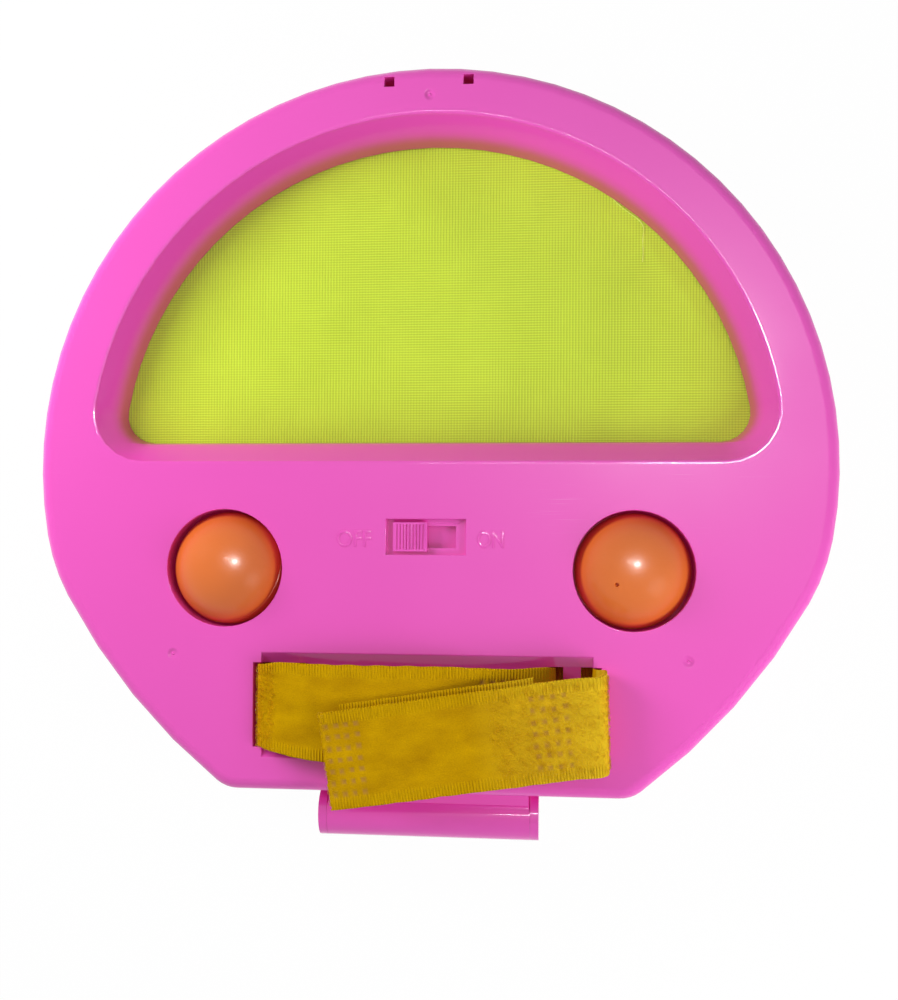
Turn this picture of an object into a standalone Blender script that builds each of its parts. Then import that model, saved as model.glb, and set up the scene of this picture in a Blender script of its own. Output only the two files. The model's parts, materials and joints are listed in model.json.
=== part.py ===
"""Folding hand drum pad: two hinged halves with D-shaped fabric pads, two stored balls, a hand strap
and a power switch on the rear half."""

import math

import bmesh
import bpy
from mathutils import Matrix, Vector

# Driving dimensions, in metres and degrees. Places are measured from the centre of the round rim,
# +X to the right and +Y towards the latch as the strap side is seen. Depths run inwards from the
# outer face of a half.

# Outline that both halves share
RIM_RADIUS = 0.1043
SHOULDER_START = 10.0
SHOULDER_END = 29.0
SHOULDER_RADIUS = 0.052
SIDE_RADIUS = 0.160
CORNER_RADIUS = 0.009
BOTTOM_EDGE = 0.0848
EDGE_ROUND = 0.0035

# Thicknesses and gaps
HALF_DEPTH = 0.015
SPLIT_GAP = 0.0005
WALL = 0.0022
PANEL = 0.0028
FIT = 0.0003

# D-shaped window, its fabric and the bezel that clamps it
WINDOW_BORDER = 0.0122
WINDOW_RISE = 0.0017
WINDOW_SILL = 0.0014
WINDOW_CORNER = 0.0135
WINDOW_DEPTH = 0.0115
WINDOW_DRAFT = 0.0060
LIP_ROUND = 0.0010
FABRIC_THICKNESS = 0.0006
CLAMP_WIDTH = 0.0042

# Hinge at the straight edge
HINGE_DROP = 0.0922
BARREL_RADIUS = 0.0062
BARREL_LENGTH = 0.0534
EAR_THICKNESS = 0.0022
EAR_GAP = 0.0004
PIN_RADIUS = 0.0015

# Latch at the top
LATCH_SPACING = 0.0206
LATCH_HOLE = 0.0026
LATCH_INSET = 0.0040
TONGUE_RISE = 0.006

# Balls and their holes
BALL_RADIUS = 0.015
BALL_WALL = 0.0010
BALL_SINK = 0.0081
BALL_X = 0.0532
BALL_Y = -0.0264
BALL_HOLE_RADIUS = 0.01545
COLLAR_DEPTH = 0.006
CUP_WALL = 0.0016

# Power switch
SWITCH_Y = -0.018
RECESS_LENGTH = 0.0207
RECESS_HEIGHT = 0.0092
RECESS_DEPTH = 0.0016
SLOT_LENGTH = 0.0154
SLOT_HEIGHT = 0.0057
KNOB_LENGTH = 0.0089
KNOB_HEIGHT = 0.0075
KNOB_TRAVEL = 0.0082

# Finger hollow, strap slots and strap
HOLLOW_Y = -0.0622
HOLLOW_LENGTH = 0.086
HOLLOW_WIDTH = 0.0276
HOLLOW_DEPTH = 0.0055
STRAP_SLOT_INNER = 0.0310
STRAP_BAR_INNER = 0.0355
STRAP_BAR_OUTER = 0.0400
STRAP_SLOT_OUTER = 0.0452
STRAP_SLOT_HEIGHT = 0.0220
STRAP_WIDTH = 0.025
STRAP_THICKNESS = 0.0012
STRAP_ARCH = 0.0068

# Screws, shared by both halves
SCREW_HEAD_RADIUS = 0.0025
SCREW_RADIUS = 0.00125
SCREW_LENGTH = 0.0095
BOSS_RADIUS = 0.0028
SCREW_TOP_INSET = 0.0071
SCREW_SIDE_INSET = 0.0223
SCREW_SIDE_Y = -0.030
SCREW_LOW_X = 0.050
SCREW_LOW_INSET = 0.0078

# Circuit, battery and sound inside the rear half
BOARD_LENGTH = 0.044
BOARD_WIDTH = 0.020
BOARD_THICKNESS = 0.0016
BOARD_DEPTH = 0.0059
BOARD_SCREW_X = 0.015
BOARD_SCREW_Y = -0.0105
BATTERY_Y = -0.0385
CELL_RADIUS = 0.0058
CELL_HEIGHT = 0.0054
TRAY_WALL = 0.0010
DOOR_TAB = 0.0068
SPEAKER_X = 0.061
SPEAKER_Y = -0.058
SPEAKER_RADIUS = 0.0115
SENSOR_X = -0.030
SENSOR_Y = -0.0065
SENSOR_RADIUS = 0.006
LEAD_RADIUS = 0.0006

# Values that follow from these
TOTAL = 2 * HALF_DEPTH + SPLIT_GAP
SPLIT = TOTAL / 2
OVERCUT = 0.002
KNOB_X = -KNOB_TRAVEL / 2
LATCH_REACH = RIM_RADIUS - LATCH_INSET
SCREW_PLACES = [
    (0.0, RIM_RADIUS - SCREW_TOP_INSET),
    (RIM_RADIUS - SCREW_SIDE_INSET, SCREW_SIDE_Y),
    (SCREW_SIDE_INSET - RIM_RADIUS, SCREW_SIDE_Y),
    (SCREW_LOW_X, SCREW_LOW_INSET - BOTTOM_EDGE),
    (-SCREW_LOW_X, SCREW_LOW_INSET - BOTTOM_EDGE),
]
BOTTOM_REACH = HINGE_DROP + BARREL_RADIUS
EAR_PLACE = BARREL_LENGTH / 2 + EAR_GAP
FABRIC_DEPTH = WINDOW_DEPTH + FIT
BEZEL_DEPTH = FABRIC_DEPTH + FABRIC_THICKNESS + FIT
PANEL_DEPTH = HALF_DEPTH - PANEL
BOSS_DEPTH = PANEL_DEPTH - FIT
FUNNEL = [
    (0.0, 0.0),
    (0.35 * LIP_ROUND, 0.25 * LIP_ROUND),
    (0.75 * LIP_ROUND, LIP_ROUND),
    (0.72 * WINDOW_DRAFT, 0.52 * WINDOW_DEPTH),
    (0.90 * WINDOW_DRAFT, 0.74 * WINDOW_DEPTH),
    (WINDOW_DRAFT, WINDOW_DEPTH),
]

for leftover in list(bpy.data.objects):
    bpy.data.objects.remove(leftover)

PARTS = bpy.data.collections.new("folding_drum_pad")
CUTTERS = bpy.data.collections.new("cutters")
for group in (PARTS, CUTTERS):
    bpy.context.scene.collection.children.link(group)


def rear(depth):
    """Height of a depth inside the rear half, which lies on top."""
    return TOTAL - depth


def front(depth):
    """Height of a depth inside the front half, which lies on the floor."""
    return depth


def polar(centre, radius, angle):
    turn = math.radians(angle)
    return (centre[0] + radius * math.cos(turn), centre[1] + radius * math.sin(turn))


def arc(centre, radius, start, end, steps):
    """Points along an arc, without its end point."""
    return [polar(centre, radius, start + (end - start) * step / steps) for step in range(steps)]


def both_sides(right, top):
    """A whole outline from its right side and its top arc."""
    left = [(-x, y) for x, y in reversed(right + top[:1])]
    return right + top + left


def outline(inset):
    """The outline of a half, moved inwards by inset."""
    shoulder = polar((0, 0), RIM_RADIUS - SHOULDER_RADIUS, -SHOULDER_START)
    side = polar(shoulder, SHOULDER_RADIUS - SIDE_RADIUS, -SHOULDER_END)
    sine = (side[1] + BOTTOM_EDGE - CORNER_RADIUS) / (SIDE_RADIUS - CORNER_RADIUS)
    turn = math.degrees(math.asin(sine))
    corner = polar(side, SIDE_RADIUS - CORNER_RADIUS, -turn)
    right = arc(corner, CORNER_RADIUS - inset, -90, -turn, 4)
    right += arc(side, SIDE_RADIUS - inset, -turn, -SHOULDER_END, 4)
    right += arc(shoulder, SHOULDER_RADIUS - inset, -SHOULDER_END, -SHOULDER_START, 3)
    top = arc((0, 0), RIM_RADIUS - inset, -SHOULDER_START, 180 + SHOULDER_START, 44)
    return both_sides(right, top)


def window(inset):
    """The outline of the D-shaped window, moved inwards by inset."""
    lip = RIM_RADIUS - WINDOW_BORDER - WINDOW_RISE
    y = WINDOW_SILL + WINDOW_CORNER
    x = math.sqrt((lip - WINDOW_CORNER) ** 2 - (y - WINDOW_RISE) ** 2)
    turn = math.degrees(math.atan2(y - WINDOW_RISE, x))
    right = arc((x, y), WINDOW_CORNER - inset, -90, turn, 6)
    top = arc((0, WINDOW_RISE), lip - inset, turn, 180 - turn, 36)
    return both_sides(right, top)


def rectangle(x, y, length, height):
    return [
        (x + side * length / 2, y + end * height / 2)
        for side, end in ((-1, -1), (1, -1), (1, 1), (-1, 1))
    ]


def circle(centre, radius, steps):
    return arc(centre, radius, 0, 360, steps)


def piece(name, mesh):
    made = bpy.data.objects.new(name, mesh)
    PARTS.objects.link(made)
    return made


def mesh_piece(name, bm):
    """A mesh object from a bmesh, welded and facing out."""
    bmesh.ops.remove_doubles(bm, verts=bm.verts, dist=1e-6)
    bmesh.ops.recalc_face_normals(bm, faces=bm.faces)
    mesh = bpy.data.meshes.new(name)
    bm.to_mesh(mesh)
    bm.free()
    return piece(name, mesh)


def plate(name, outlines, low, high):
    """A flat outline, with holes where more outlines lie inside it, given a thickness."""
    curve = bpy.data.curves.new(name, "CURVE")
    curve.dimensions = "2D"
    curve.fill_mode = "BOTH"
    curve.extrude = abs(high - low) / 2
    for points in outlines:
        spline = curve.splines.new("POLY")
        spline.points.add(len(points) - 1)
        spline.use_cyclic_u = True
        for place, (x, y) in zip(spline.points, points):
            place.co = (x, y, 0, 1)
    flat = bpy.data.objects.new(name + "_outline", curve)
    bm = bmesh.new()
    bm.from_mesh(bpy.data.meshes.new_from_object(flat))
    bpy.data.objects.remove(flat)
    bmesh.ops.translate(bm, verts=bm.verts, vec=(0, 0, (low + high) / 2))
    return mesh_piece(name, bm)


def loft(name, sections):
    """A closed solid through sections that have the same number of points, each a list of places."""
    bm = bmesh.new()
    rings = [[bm.verts.new(place) for place in section] for section in sections]
    for lower, upper in zip(rings, rings[1:]):
        for here in range(len(lower)):
            bm.faces.new((lower[here - 1], lower[here], upper[here], upper[here - 1]))
    bm.faces.new(rings[0])
    bm.faces.new(rings[-1])
    return mesh_piece(name, bm)


def funnel(name, half, grow):
    """The D-shaped well of a window, its wall moved outwards by grow."""
    start = -OVERCUT if grow == 0 else WALL / 2
    sections = [(-grow, start)] + [(inset - grow, depth) for inset, depth in FUNNEL if depth > start]
    if grow == 0:
        sections.append((WINDOW_DRAFT, WINDOW_DEPTH + OVERCUT))
    return loft(name, [[(x, y, half(depth)) for x, y in window(inset)] for inset, depth in sections])


def block(name, low, high):
    bm = bmesh.new()
    bmesh.ops.create_cube(bm, size=1)
    size = [abs(b - a) for a, b in zip(low, high)]
    bmesh.ops.scale(bm, verts=bm.verts, vec=size)
    bmesh.ops.translate(bm, verts=bm.verts, vec=[(a + b) / 2 for a, b in zip(low, high)])
    return mesh_piece(name, bm)


def rod(name, radius, start, end, steps=24):
    """A round rod from one place to another, along Z or along X."""
    bm = bmesh.new()
    span = Vector(end) - Vector(start)
    bmesh.ops.create_cone(
        bm, cap_ends=True, segments=steps, radius1=radius, radius2=radius, depth=span.length
    )
    turn = Vector((0, 0, 1)).rotation_difference(span).to_matrix()
    bmesh.ops.rotate(bm, verts=bm.verts, cent=(0, 0, 0), matrix=turn)
    bmesh.ops.translate(bm, verts=bm.verts, vec=(Vector(start) + Vector(end)) / 2)
    return mesh_piece(name, bm)


def turned(name, profile, x, y, steps=20):
    """A round piece from a profile of (radius, height), turned about a line along Z."""
    bm = bmesh.new()
    places = [bm.verts.new((radius, 0, height)) for radius, height in profile]
    edges = [bm.edges.new(pair) for pair in zip(places, places[1:])]
    bmesh.ops.spin(
        bm,
        geom=places + edges,
        cent=(0, 0, 0),
        axis=(0, 0, 1),
        angle=2 * math.pi,
        steps=steps,
        use_merge=True,
    )
    bmesh.ops.translate(bm, verts=bm.verts, vec=(x, y, 0))
    return mesh_piece(name, bm)


def sphere(name, radius, centre, around=32, along=16):
    bm = bmesh.new()
    bmesh.ops.create_uvsphere(bm, u_segments=around, v_segments=along, radius=radius)
    bmesh.ops.translate(bm, verts=bm.verts, vec=centre)
    return mesh_piece(name, bm)


def shape_with(target, helper, operation):
    """Cuts or joins a helper, which becomes hidden and moves with the piece that it shapes."""
    change = target.modifiers.new(helper.name, "BOOLEAN")
    change.operation = operation
    change.solver = "EXACT"
    change.object = helper
    PARTS.objects.unlink(helper)
    CUTTERS.objects.link(helper)
    helper.parent = target
    helper.hide_render = True
    helper.display_type = "WIRE"


def cut(target, helper):
    shape_with(target, helper, "DIFFERENCE")


def join(target, helper):
    shape_with(target, helper, "UNION")


def carrier(name, place, parent=None):
    """An empty that carries the pieces of one body, placed on that body's joint."""
    empty = bpy.data.objects.new(name, None)
    empty.location = Vector(place) - (Vector(parent["drawn_at"]) if parent else Vector())
    empty["drawn_at"] = place
    empty.parent = parent
    PARTS.objects.link(empty)
    return empty


def plastic(name, colour, roughness=0.4, metallic=0.0):
    made = bpy.data.materials.new(name)
    made.use_nodes = True
    shader = made.node_tree.nodes["Principled BSDF"]
    shader.inputs["Base Color"].default_value = (*colour, 1)
    shader.inputs["Roughness"].default_value = roughness
    shader.inputs["Metallic"].default_value = metallic
    return made


PINK = plastic("pink_plastic", (0.85, 0.10, 0.50))
LIME = plastic("lime_fabric", (0.55, 0.72, 0.03), 0.9)
ORANGE = plastic("orange_plastic", (0.72, 0.15, 0.02))
YELLOW = plastic("yellow_webbing", (0.65, 0.36, 0.01), 0.9)
STEEL = plastic("steel", (0.6, 0.6, 0.62), 0.3, 1.0)
GREEN = plastic("board_green", (0.02, 0.20, 0.06))
BLACK = plastic("black_plastic", (0.02, 0.02, 0.02))
RED = plastic("red_insulation", (0.5, 0.02, 0.02))
BRASS = plastic("brass", (0.7, 0.5, 0.2), 0.3, 1.0)
PAPER = plastic("speaker_film", (0.05, 0.05, 0.06), 0.6)


def finish(made, body, material):
    made.data.materials.append(material)
    made.parent = body
    made.location = -Vector(body["drawn_at"])
    return made


# Bodies: the front half rests on the floor, and the rear half swings on the hinge

root = carrier("drum_pad", (0, 0, 0))
root.location.y = (BOTTOM_REACH - RIM_RADIUS) / 2
front_half = carrier("front_half", (0, 0, 0), root)
rear_half = carrier("rear_half", (0, -HINGE_DROP, SPLIT), root)
slide = carrier("power_slide", (KNOB_X, SWITCH_Y, rear(0)), rear_half)


def make_shell(name, half):
    """One outer half: a rounded tray with the window's well, its clamping flange and the screw bosses."""
    shell = plate(name, [outline(0)], half(0), half(HALF_DEPTH))
    bm = bmesh.new()
    bm.from_mesh(shell.data)
    bmesh.ops.dissolve_limit(bm, angle_limit=0.02, verts=bm.verts, edges=bm.edges)
    face = [
        edge
        for edge in bm.edges
        if all(abs(corner.co.z - half(0)) < 1e-6 for corner in edge.verts)
    ]
    bmesh.ops.bevel(
        bm, geom=face, offset=EDGE_ROUND, segments=3, profile=0.5, affect="EDGES", material=-1
    )
    bm.to_mesh(shell.data)
    bm.free()
    cut(shell, plate(name + "_cavity", [outline(WALL)], half(WALL), half(HALF_DEPTH + OVERCUT)))
    join(shell, funnel(name + "_well_wall", half, WALL))
    flange = WINDOW_DRAFT - CLAMP_WIDTH - 0.8 * WALL / 2
    join(
        shell,
        plate(name + "_flange", [window(flange)], half(WINDOW_DEPTH - WALL), half(WINDOW_DEPTH)),
    )
    cut(shell, funnel(name + "_well", half, 0))
    for number, (x, y) in enumerate(SCREW_PLACES, 1):
        join(
            shell,
            rod(f"{name}_boss_{number}", BOSS_RADIUS, (x, y, half(WALL / 2)), (x, y, half(BOSS_DEPTH)), 16),
        )
    for number, (x, y) in enumerate(SCREW_PLACES, 1):
        low, high = half(HALF_DEPTH - SCREW_LENGTH - 0.0008), half(HALF_DEPTH)
        cut(shell, rod(f"{name}_pilot_{number}", SCREW_RADIUS + FIT, (x, y, low), (x, y, high), 12))
    return shell


def screw_profile(half, grow):
    """A countersunk screw whose head lies flush with the inside of a half."""
    top, cone = HALF_DEPTH - FIT / 3, SCREW_HEAD_RADIUS - SCREW_RADIUS
    end = HALF_DEPTH - SCREW_LENGTH
    rows = [
        (0.0, top + grow),
        (SCREW_HEAD_RADIUS + grow, top + grow),
        (SCREW_HEAD_RADIUS + grow, top - 0.0003),
        (SCREW_RADIUS + grow, top - 0.0003 - cone),
        (SCREW_RADIUS + grow, end + 0.0006 - grow),
        (0.3 * SCREW_RADIUS + grow, end - grow),
        (0.0, end - grow),
    ]
    return [(radius, half(depth)) for radius, depth in rows]


def make_screws(label, half, body, places):
    for number, (x, y) in enumerate(places, 1):
        finish(turned(f"{label}_{number}", screw_profile(half, 0), x, y, 16), body, STEEL)


def cut_screw_holes(panel, half, places):
    for number, (x, y) in enumerate(places, 1):
        cut(panel, turned(f"{panel.name}_hole_{number}", screw_profile(half, FIT), x, y, 16))


def cut_latch_notches(panel, half):
    for side in (-1, 1):
        x = side * LATCH_SPACING / 2
        notch = block(
            f"{panel.name}_notch_{side}",
            (x - 0.0016, LATCH_REACH - 0.0033, half(PANEL_DEPTH - OVERCUT)),
            (x + 0.0016, RIM_RADIUS, half(HALF_DEPTH + OVERCUT)),
        )
        cut(panel, notch)


# Front half: shell with hinge ears and latch tongues, pad, bezel and inner panel with the ball cups

front_shell = make_shell("front_shell", front)
for side in (-1, 1):
    near, far = side * EAR_PLACE, side * (EAR_PLACE + EAR_THICKNESS)
    join(
        front_shell,
        rod(f"ear_{side}", BARREL_RADIUS, (near, -HINGE_DROP, SPLIT), (far, -HINGE_DROP, SPLIT), 24),
    )
    join(
        front_shell,
        block(
            f"ear_arm_{side}",
            (near + side * 0.0001, -HINGE_DROP, SPLIT - 0.8 * BARREL_RADIUS),
            (far - side * 0.0001, WALL / 2 - BOTTOM_EDGE, SPLIT - 0.17 * BARREL_RADIUS),
        ),
    )
    x = side * LATCH_SPACING / 2
    join(
        front_shell,
        block(
            f"tongue_{side}",
            (x - 0.0010, LATCH_REACH - 0.0027, front(HALF_DEPTH - 0.007)),
            (x + 0.0010, LATCH_REACH - 0.0011, SPLIT + SPLIT_GAP / 2 + TONGUE_RISE),
        ),
    )
    join(
        front_shell,
        block(
            f"tongue_root_{side}",
            (x - 0.00095, LATCH_REACH - 0.0026, front(HALF_DEPTH - 0.0068)),
            (x + 0.00095, RIM_RADIUS - WALL / 2, front(BOSS_DEPTH - 0.0004)),
        ),
    )
bore_end = EAR_PLACE + EAR_THICKNESS + OVERCUT
cut(
    front_shell,
    rod("ear_bore", PIN_RADIUS + FIT, (-bore_end, -HINGE_DROP, SPLIT), (bore_end, -HINGE_DROP, SPLIT), 16),
)
finish(front_shell, front_half, PINK)

front_panel = plate(
    "front_panel",
    [outline(WALL + FIT), window(WINDOW_DRAFT - CLAMP_WIDTH - 2 * FIT)],
    front(PANEL_DEPTH),
    front(HALF_DEPTH),
)
ball_height = rear(BALL_SINK)
for side in (-1, 1):
    centre = (side * BALL_X, BALL_Y, ball_height)
    cup = sphere(f"cup_{side}", BALL_RADIUS + FIT + CUP_WALL, centre)
    reach = BALL_RADIUS * 2
    shape_with(
        cup,
        block(
            f"cup_limit_{side}",
            (side * BALL_X - reach, BALL_Y - reach, 0),
            (side * BALL_X + reach, BALL_Y + reach, front(HALF_DEPTH - PANEL / 2)),
        ),
        "INTERSECT",
    )
    join(front_panel, cup)
    cut(front_panel, sphere(f"cup_hollow_{side}", BALL_RADIUS + FIT, centre))
cut_screw_holes(front_panel, front, SCREW_PLACES)
cut_latch_notches(front_panel, front)
finish(front_panel, front_half, PINK)

for label, half, body in (("front", front, front_half), ("rear", rear, rear_half)):
    fabric = plate(
        label + "_fabric",
        [window(WINDOW_DRAFT - CLAMP_WIDTH)],
        half(FABRIC_DEPTH),
        half(FABRIC_DEPTH + FABRIC_THICKNESS),
    )
    finish(fabric, body, LIME)
    bezel = plate(
        label + "_bezel",
        [window(WINDOW_DRAFT - CLAMP_WIDTH - FIT), window(WINDOW_DRAFT)],
        half(BEZEL_DEPTH),
        half(HALF_DEPTH),
    )
    finish(bezel, body, PINK)
    make_screws(label + "_screw", half, body, SCREW_PLACES)

# Rear half: shell with the ball holes, switch recess, finger hollow, strap slots and hinge barrel

rear_shell = make_shell("rear_shell", rear)
for side in (-1, 1):
    x = side * BALL_X
    collar = (x, BALL_Y, rear(COLLAR_DEPTH))
    join(rear_shell, rod(f"collar_{side}", BALL_HOLE_RADIUS + WALL, (x, BALL_Y, rear(WALL / 2)), collar, 40))
for side in (-1, 1):
    x = side * BALL_X
    low, high = (x, BALL_Y, rear(COLLAR_DEPTH + OVERCUT)), (x, BALL_Y, rear(-OVERCUT))
    cut(rear_shell, rod(f"ball_hole_{side}", BALL_HOLE_RADIUS, low, high, 48))

recess_floor = RECESS_DEPTH + 0.0016
join(
    rear_shell,
    block(
        "recess_body",
        (-RECESS_LENGTH / 2 - WALL, SWITCH_Y - RECESS_HEIGHT / 2 - WALL, rear(recess_floor)),
        (RECESS_LENGTH / 2 + WALL, SWITCH_Y + RECESS_HEIGHT / 2 + WALL, rear(WALL / 2)),
    ),
)
cut(
    rear_shell,
    plate(
        "recess", [rectangle(0, SWITCH_Y, RECESS_LENGTH, RECESS_HEIGHT)], rear(RECESS_DEPTH), rear(-OVERCUT)
    ),
)
cut(
    rear_shell,
    plate(
        "switch_slot",
        [rectangle(0, SWITCH_Y, SLOT_LENGTH, SLOT_HEIGHT)],
        rear(recess_floor + OVERCUT),
        rear(-OVERCUT),
    ),
)

# The finger hollow is a trough along X, with the strap bars left between the slots in its ends
trough_radius = ((HOLLOW_WIDTH / 2) ** 2 + HOLLOW_DEPTH**2) / (2 * HOLLOW_DEPTH)
trough_axis = rear(HOLLOW_DEPTH) + trough_radius
trough_end = STRAP_SLOT_OUTER + WALL
trough = rod(
    "trough",
    trough_radius + WALL,
    (-trough_end, HOLLOW_Y, trough_axis),
    (trough_end, HOLLOW_Y, trough_axis),
    64,
)
shape_with(
    trough,
    block(
        "trough_limit",
        (-trough_end - OVERCUT, HOLLOW_Y - HOLLOW_WIDTH, rear(HALF_DEPTH)),
        (trough_end + OVERCUT, HOLLOW_Y + HOLLOW_WIDTH, rear(WALL / 2)),
    ),
    "INTERSECT",
)
join(rear_shell, trough)
hollow_end = HOLLOW_LENGTH / 2
cut(
    rear_shell,
    rod("hollow", trough_radius, (-hollow_end, HOLLOW_Y, trough_axis), (hollow_end, HOLLOW_Y, trough_axis), 64),
)
for side in (-1, 1):
    for label, near, far in (
        ("inner", STRAP_SLOT_INNER, STRAP_BAR_INNER),
        ("outer", STRAP_BAR_OUTER, STRAP_SLOT_OUTER),
    ):
        cut(
            rear_shell,
            block(
                f"strap_slot_{label}_{side}",
                (side * near, HOLLOW_Y - STRAP_SLOT_HEIGHT / 2, rear(HALF_DEPTH - PANEL)),
                (side * far, HOLLOW_Y + STRAP_SLOT_HEIGHT / 2, rear(-OVERCUT)),
            ),
        )
    x = side * LATCH_SPACING / 2
    hole = rectangle(x, LATCH_REACH, LATCH_HOLE, LATCH_HOLE)
    cut(rear_shell, plate(f"latch_hole_{side}", [hole], rear(WALL + 0.001), rear(-OVERCUT)))
    post = (side * BOARD_SCREW_X, BOARD_SCREW_Y)
    join(
        rear_shell,
        rod(f"board_post_{side}", 0.0022, (*post, rear(WALL / 2)), (*post, rear(BOARD_DEPTH - FIT)), 12),
    )
    cut(
        rear_shell,
        rod(f"board_pilot_{side}", 0.0009 + FIT, (*post, rear(WALL + 0.0004)), (*post, rear(BOARD_DEPTH)), 10),
    )
tray_half = 1.5 * 2 * CELL_RADIUS + 4 * FIT + 0.0004 + TRAY_WALL
door_screw = (tray_half + DOOR_TAB / 2, BATTERY_Y)
join(
    rear_shell, rod("door_post", 0.0026, (*door_screw, rear(WALL / 2)), (*door_screw, rear(BOSS_DEPTH)), 16)
)
cut(
    rear_shell,
    rod(
        "door_pilot",
        SCREW_RADIUS + FIT,
        (*door_screw, rear(HALF_DEPTH - SCREW_LENGTH - 0.0008)),
        (*door_screw, rear(HALF_DEPTH)),
        12,
    ),
)
join(
    rear_shell,
    block(
        "barrel_arm",
        (0.0001 - BARREL_LENGTH / 2, -HINGE_DROP, SPLIT + 0.17 * BARREL_RADIUS),
        (BARREL_LENGTH / 2 - 0.0001, WALL / 2 - BOTTOM_EDGE, SPLIT + 0.8 * BARREL_RADIUS),
    ),
)
barrel_ends = [(side * BARREL_LENGTH / 2, -HINGE_DROP, SPLIT) for side in (-1, 1)]
join(rear_shell, rod("barrel", BARREL_RADIUS, *barrel_ends, 24))
cut(
    rear_shell,
    rod("barrel_bore", PIN_RADIUS + FIT, (-bore_end, -HINGE_DROP, SPLIT), (bore_end, -HINGE_DROP, SPLIT), 16),
)
finish(rear_shell, rear_half, PINK)

# Inner panel of the rear half, open for the pad, the balls, the battery and the speaker
tray_height = CELL_RADIUS + FIT + TRAY_WALL
door_length = 2 * tray_half + DOOR_TAB
door_x = DOOR_TAB / 2
door_height = 2 * tray_height - 0.0004
holes = [window(WINDOW_DRAFT - CLAMP_WIDTH - 2 * FIT)]
holes += [circle((side * BALL_X, BALL_Y), BALL_RADIUS + 0.002, 40) for side in (-1, 1)]
holes += [rectangle(door_x, BATTERY_Y, door_length + 2 * FIT, door_height + 2 * FIT)]
for row, length in ((-2, 0.5), (-1, 1.0), (0, 1.2), (1, 1.0), (2, 0.5)):
    holes.append(rectangle(SPEAKER_X, SPEAKER_Y + row * 0.0036, length * SPEAKER_RADIUS, 0.0016))
rear_panel = plate("rear_panel", [outline(WALL + FIT)] + holes, rear(PANEL_DEPTH), rear(HALF_DEPTH))
cut_screw_holes(rear_panel, rear, SCREW_PLACES)
cut_latch_notches(rear_panel, rear)
finish(rear_panel, rear_half, PINK)

# Hinge pin
pin_end = EAR_PLACE + EAR_THICKNESS
finish(
    rod("hinge_pin", PIN_RADIUS, (-pin_end, -HINGE_DROP, SPLIT), (pin_end, -HINGE_DROP, SPLIT), 16),
    front_half,
    STEEL,
)

# Balls: hollow, each with the pinhole that blow moulding leaves
for label, side, facing in (("left", -1, (0.3, 0.2, -0.93)), ("right", 1, (-0.47, -0.24, 0.85))):
    centre = Vector((side * BALL_X, BALL_Y, ball_height))
    ball = sphere(label + "_ball", BALL_RADIUS, centre)
    cut(ball, sphere(label + "_ball_inside", BALL_RADIUS - BALL_WALL, centre, 16, 8))
    way = Vector(facing).normalized()
    cut(ball, rod(label + "_pinhole", 0.0005, centre + 0.8 * BALL_RADIUS * way, centre + 1.1 * BALL_RADIUS * way, 8))
    body = carrier(label + "_ball_seat", tuple(centre), front_half)
    finish(ball, body, ORANGE)

# Power switch: ribbed knob, the slider that keeps it in and the contact under it
cap_top, cap_low = 0.0002, RECESS_DEPTH - FIT
knob = block(
    "switch_knob",
    (KNOB_X - KNOB_LENGTH / 2, SWITCH_Y - KNOB_HEIGHT / 2, rear(cap_low)),
    (KNOB_X + KNOB_LENGTH / 2, SWITCH_Y + KNOB_HEIGHT / 2, rear(cap_top)),
)
stem_length = SLOT_LENGTH - KNOB_TRAVEL - 2 * FIT
stem_height = SLOT_HEIGHT - 2 * FIT
stem_end = recess_floor + 0.0017
join(
    knob,
    plate(
        "knob_stem",
        [rectangle(KNOB_X, SWITCH_Y, stem_length, stem_height)],
        rear(stem_end),
        rear((cap_low + cap_top) / 2),
    ),
)
for groove in range(-4, 5):
    x = KNOB_X + groove * KNOB_LENGTH / 10.5
    cut(
        knob,
        block(
            f"knob_groove_{groove}",
            (x - 0.00014, SWITCH_Y - KNOB_HEIGHT / 2 + 0.0005, rear(cap_top + 0.0003)),
            (x + 0.00014, SWITCH_Y + KNOB_HEIGHT / 2 - 0.0005, rear(-OVERCUT)),
        ),
    )
finish(knob, slide, PINK)
slider = plate(
    "switch_slider",
    [
        rectangle(KNOB_X, SWITCH_Y, SLOT_LENGTH + KNOB_TRAVEL + 0.0012, stem_height + 0.0034),
        rectangle(KNOB_X, SWITCH_Y, stem_length + 2 * FIT, stem_height + 2 * FIT),
    ],
    rear(recess_floor + FIT),
    rear(recess_floor + FIT + 0.0012),
)
finish(slider, slide, PINK)
wiper = block(
    "switch_contact",
    (KNOB_X - 0.0035, SWITCH_Y - 0.0015, rear(BOARD_DEPTH - FIT)),
    (KNOB_X + 0.0035, SWITCH_Y + 0.0015, rear(BOARD_DEPTH - FIT - 0.0003)),
)
finish(wiper, slide, BRASS)

# Circuit board on its two posts, with the sound chip
board_back = BOARD_DEPTH + BOARD_THICKNESS
screw_holes = [circle((side * BOARD_SCREW_X, BOARD_SCREW_Y), 0.0009 + FIT, 12) for side in (-1, 1)]
board = plate(
    "circuit_board",
    [rectangle(0, SWITCH_Y, BOARD_LENGTH, BOARD_WIDTH)] + screw_holes,
    rear(BOARD_DEPTH),
    rear(board_back),
)
finish(board, rear_half, GREEN)
for label, side in (("left", -1), ("right", 1)):
    head = board_back + FIT
    rows = [(0, head + 0.0012), (0.0014, head + 0.0012), (0.0019, head + 0.0006), (0.0019, head)]
    rows += [(0.0009, head), (0.0009, WALL + 0.0010), (0, WALL + 0.0007)]
    profile = [(radius, rear(depth)) for radius, depth in rows]
    made = turned(f"board_screw_{label}", profile, side * BOARD_SCREW_X, BOARD_SCREW_Y, 12)
    finish(made, rear_half, STEEL)
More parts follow.
